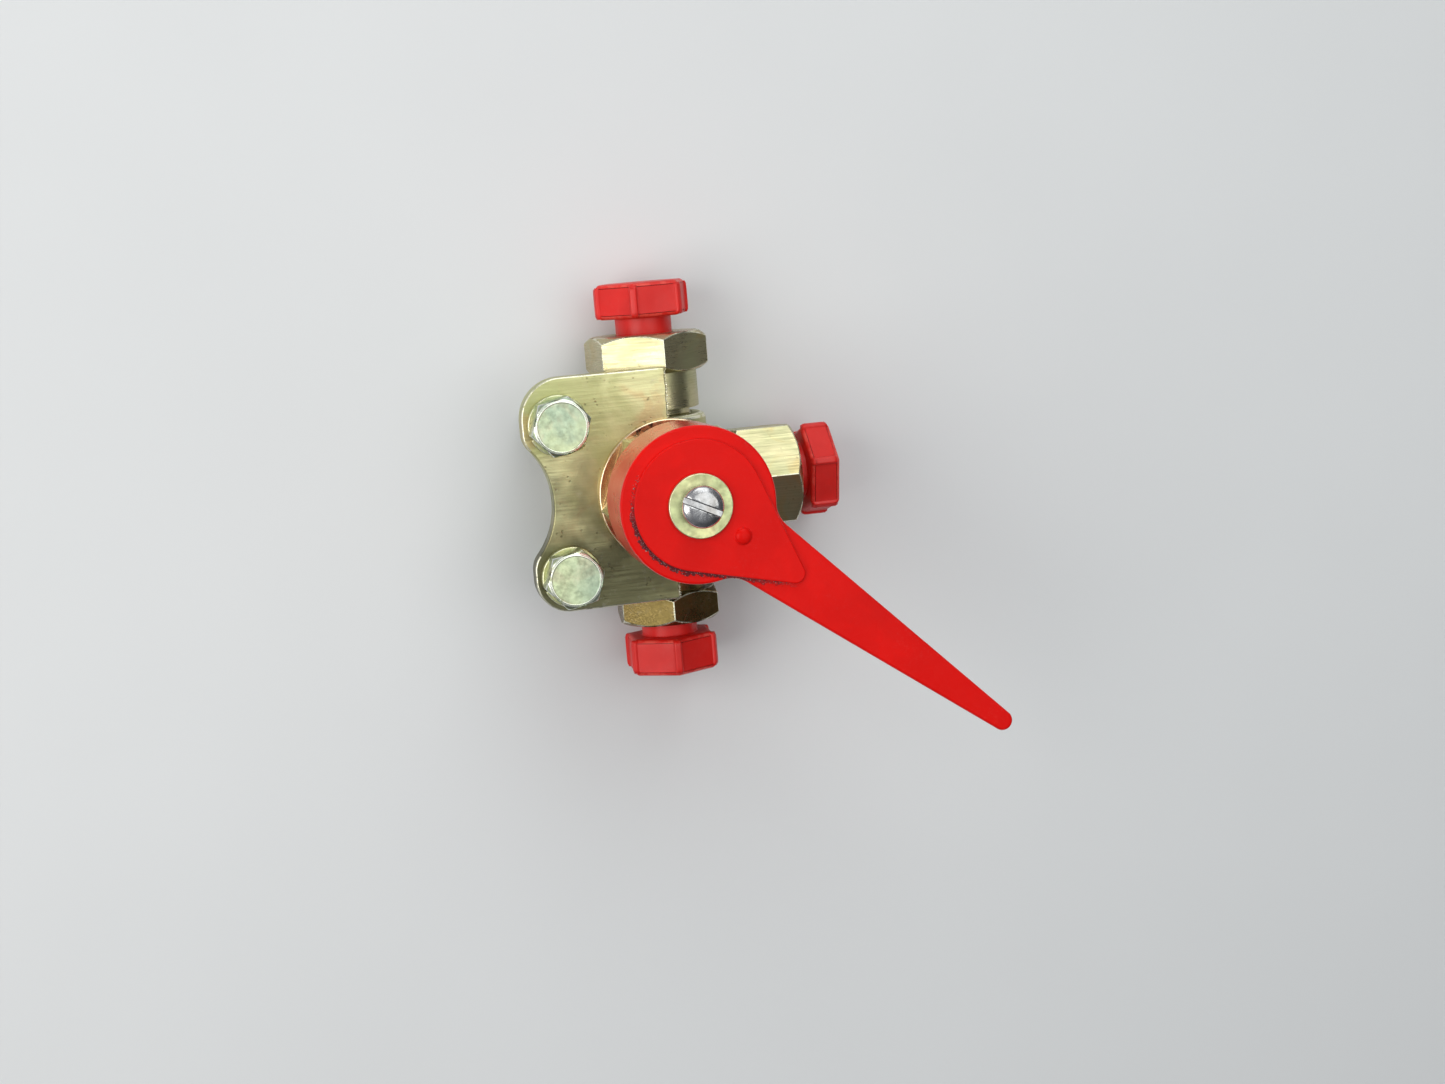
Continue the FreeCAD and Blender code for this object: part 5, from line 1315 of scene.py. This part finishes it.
# The side of the room that is brightest, and the strengths away from it and towards it.
SKY_SIDE = (-0.45, 0.5, 0.75)
SKY_DIM = 0.08
SKY_BRIGHT = 0.42


def area_light(name, direction, distance, size, power, tint):
    """A soft square light that looks at the valve."""
    light = bpy.data.lights.new(name, "AREA")
    light.size = size
    light.energy = power
    light.color = tint
    lamp = bpy.data.objects.new(name, light)
    back = Vector(direction).normalized()
    lamp.location = CENTRE + back * distance
    lamp.rotation_mode = "QUATERNION"
    lamp.rotation_quaternion = back.to_track_quat("Z", "Y")
    bpy.context.scene.collection.objects.link(lamp)


def studio_world():
    """A dim room, lighter overhead and to the upper left."""
    world = bpy.data.worlds.new("studio")
    bpy.context.scene.world = world
    world.use_nodes = True
    board = Board(world.node_tree)
    world.node_tree.nodes.clear()
    direction = board.node("ShaderNodeTexCoord").outputs["Generated"]
    strength = board.range(board.along(direction, SKY_SIDE), -0.3, 1.0, SKY_DIM, SKY_BRIGHT)
    sky = board.node("ShaderNodeBackground", {"Color": (0.93, 0.96, 1.0, 1.0), "Strength": strength})
    output = board.node("ShaderNodeOutputWorld")
    board.put(output.inputs["Surface"], sky.outputs[0])


def floor_paint():
    """Pale matt floor, seen through from below."""
    finish = Finish("floor")
    shade = finish.range(finish.clouds(finish.place, 9.0, 3.0), 0.2, 0.8)
    finish.set(Base_Color=finish.mix(shade, rgb(colours().floor), rgb(colours().floor, 0.97)),
               Roughness=0.75)
    finish.clear_from_behind()
    return finish.material


def studio_floor():
    """A wide floor just under the valve's lowest point."""
    level = CAD_BOX[0].z - FLOOR_GAP
    corners = [(x * FLOOR_HALF, y * FLOOR_HALF, level) for x, y in ((-1, -1), (1, -1), (1, 1), (-1, 1))]
    mesh = bpy.data.meshes.new("floor")
    mesh.from_pydata(corners, [], [(0, 1, 2, 3)])
    floor = bpy.data.objects.new("floor", mesh)
    bpy.context.scene.collection.objects.link(floor)
    mesh.materials.append(floor_paint())


def studio_camera():
    """The camera at its distance from the point it looks at."""
    lens = bpy.data.cameras.new("camera")
    lens.lens = sizes().camera_lens
    lens.sensor_width = SENSOR_WIDTH
    lens.clip_start = 0.01
    lens.clip_end = 20.0
    camera = bpy.data.objects.new("camera", lens)
    bpy.context.scene.collection.objects.link(camera)
    place = Matrix((VIEW_RIGHT, VIEW_UP, VIEW_BACK)).transposed().to_4x4()
    place.translation = CENTRE + AIM + VIEW_BACK * sizes().camera_distance
    camera.matrix_world = place
    bpy.context.scene.camera = camera


class VALVE_OT_stage(PieceOperator, bpy.types.Operator):
    """Build the floor, the lights and the camera"""
    bl_idname = "valve.stage"
    bl_label = "Stage"

    def execute(self, context):
        context.scene.view_settings.view_transform = "Standard"
        studio_floor()
        for light in LIGHTS:
            area_light(*light)
        studio_world()
        studio_camera()
        return {"FINISHED"}


# -------------------------------------------------------------------------- panel
class VALVE_PT_pieces(bpy.types.Panel):
    """Sizes, colours and one button for each piece"""
    bl_idname = "VALVE_PT_pieces"
    bl_label = "Three way valve"
    bl_space_type = "VIEW_3D"
    bl_region_type = "UI"
    bl_category = "Valve"

    def draw(self, context):
        for group in (context.scene.valve_sizes, context.scene.valve_colours):
            box = self.layout.box()
            for name in group.__annotations__:
                box.prop(group, name)
        for operator in OPERATORS:
            self.layout.operator(operator.bl_idname)


OPERATORS = (VALVE_OT_stage, VALVE_OT_forged_body, VALVE_OT_port_fittings, VALVE_OT_bonnet,
             VALVE_OT_sealing_ring, VALVE_OT_lever, VALVE_OT_lever_fasteners, VALVE_OT_plugs,
             VALVE_OT_mounting_bolts, VALVE_OT_inner_pieces)
CLASSES = (ValveSizes, ValveColours) + OPERATORS + (VALVE_PT_pieces,)


def register():
    for cls in CLASSES:
        bpy.utils.register_class(cls)
    bpy.types.Scene.valve_sizes = bpy.props.PointerProperty(type=ValveSizes)
    bpy.types.Scene.valve_colours = bpy.props.PointerProperty(type=ValveColours)


def unregister():
    del bpy.types.Scene.valve_colours
    del bpy.types.Scene.valve_sizes
    for cls in reversed(CLASSES):
        bpy.utils.unregister_class(cls)


def main():
    register()
    bpy.ops.valve.stage()
    bpy.ops.valve.forged_body()
    bpy.ops.valve.port_fittings()
    bpy.ops.valve.bonnet()
    bpy.ops.valve.sealing_ring()
    bpy.ops.valve.lever()
    bpy.ops.valve.lever_fasteners()
    bpy.ops.valve.plugs()
    bpy.ops.valve.mounting_bolts()
    bpy.ops.valve.inner_pieces()


if __name__ == "__main__":
    main()
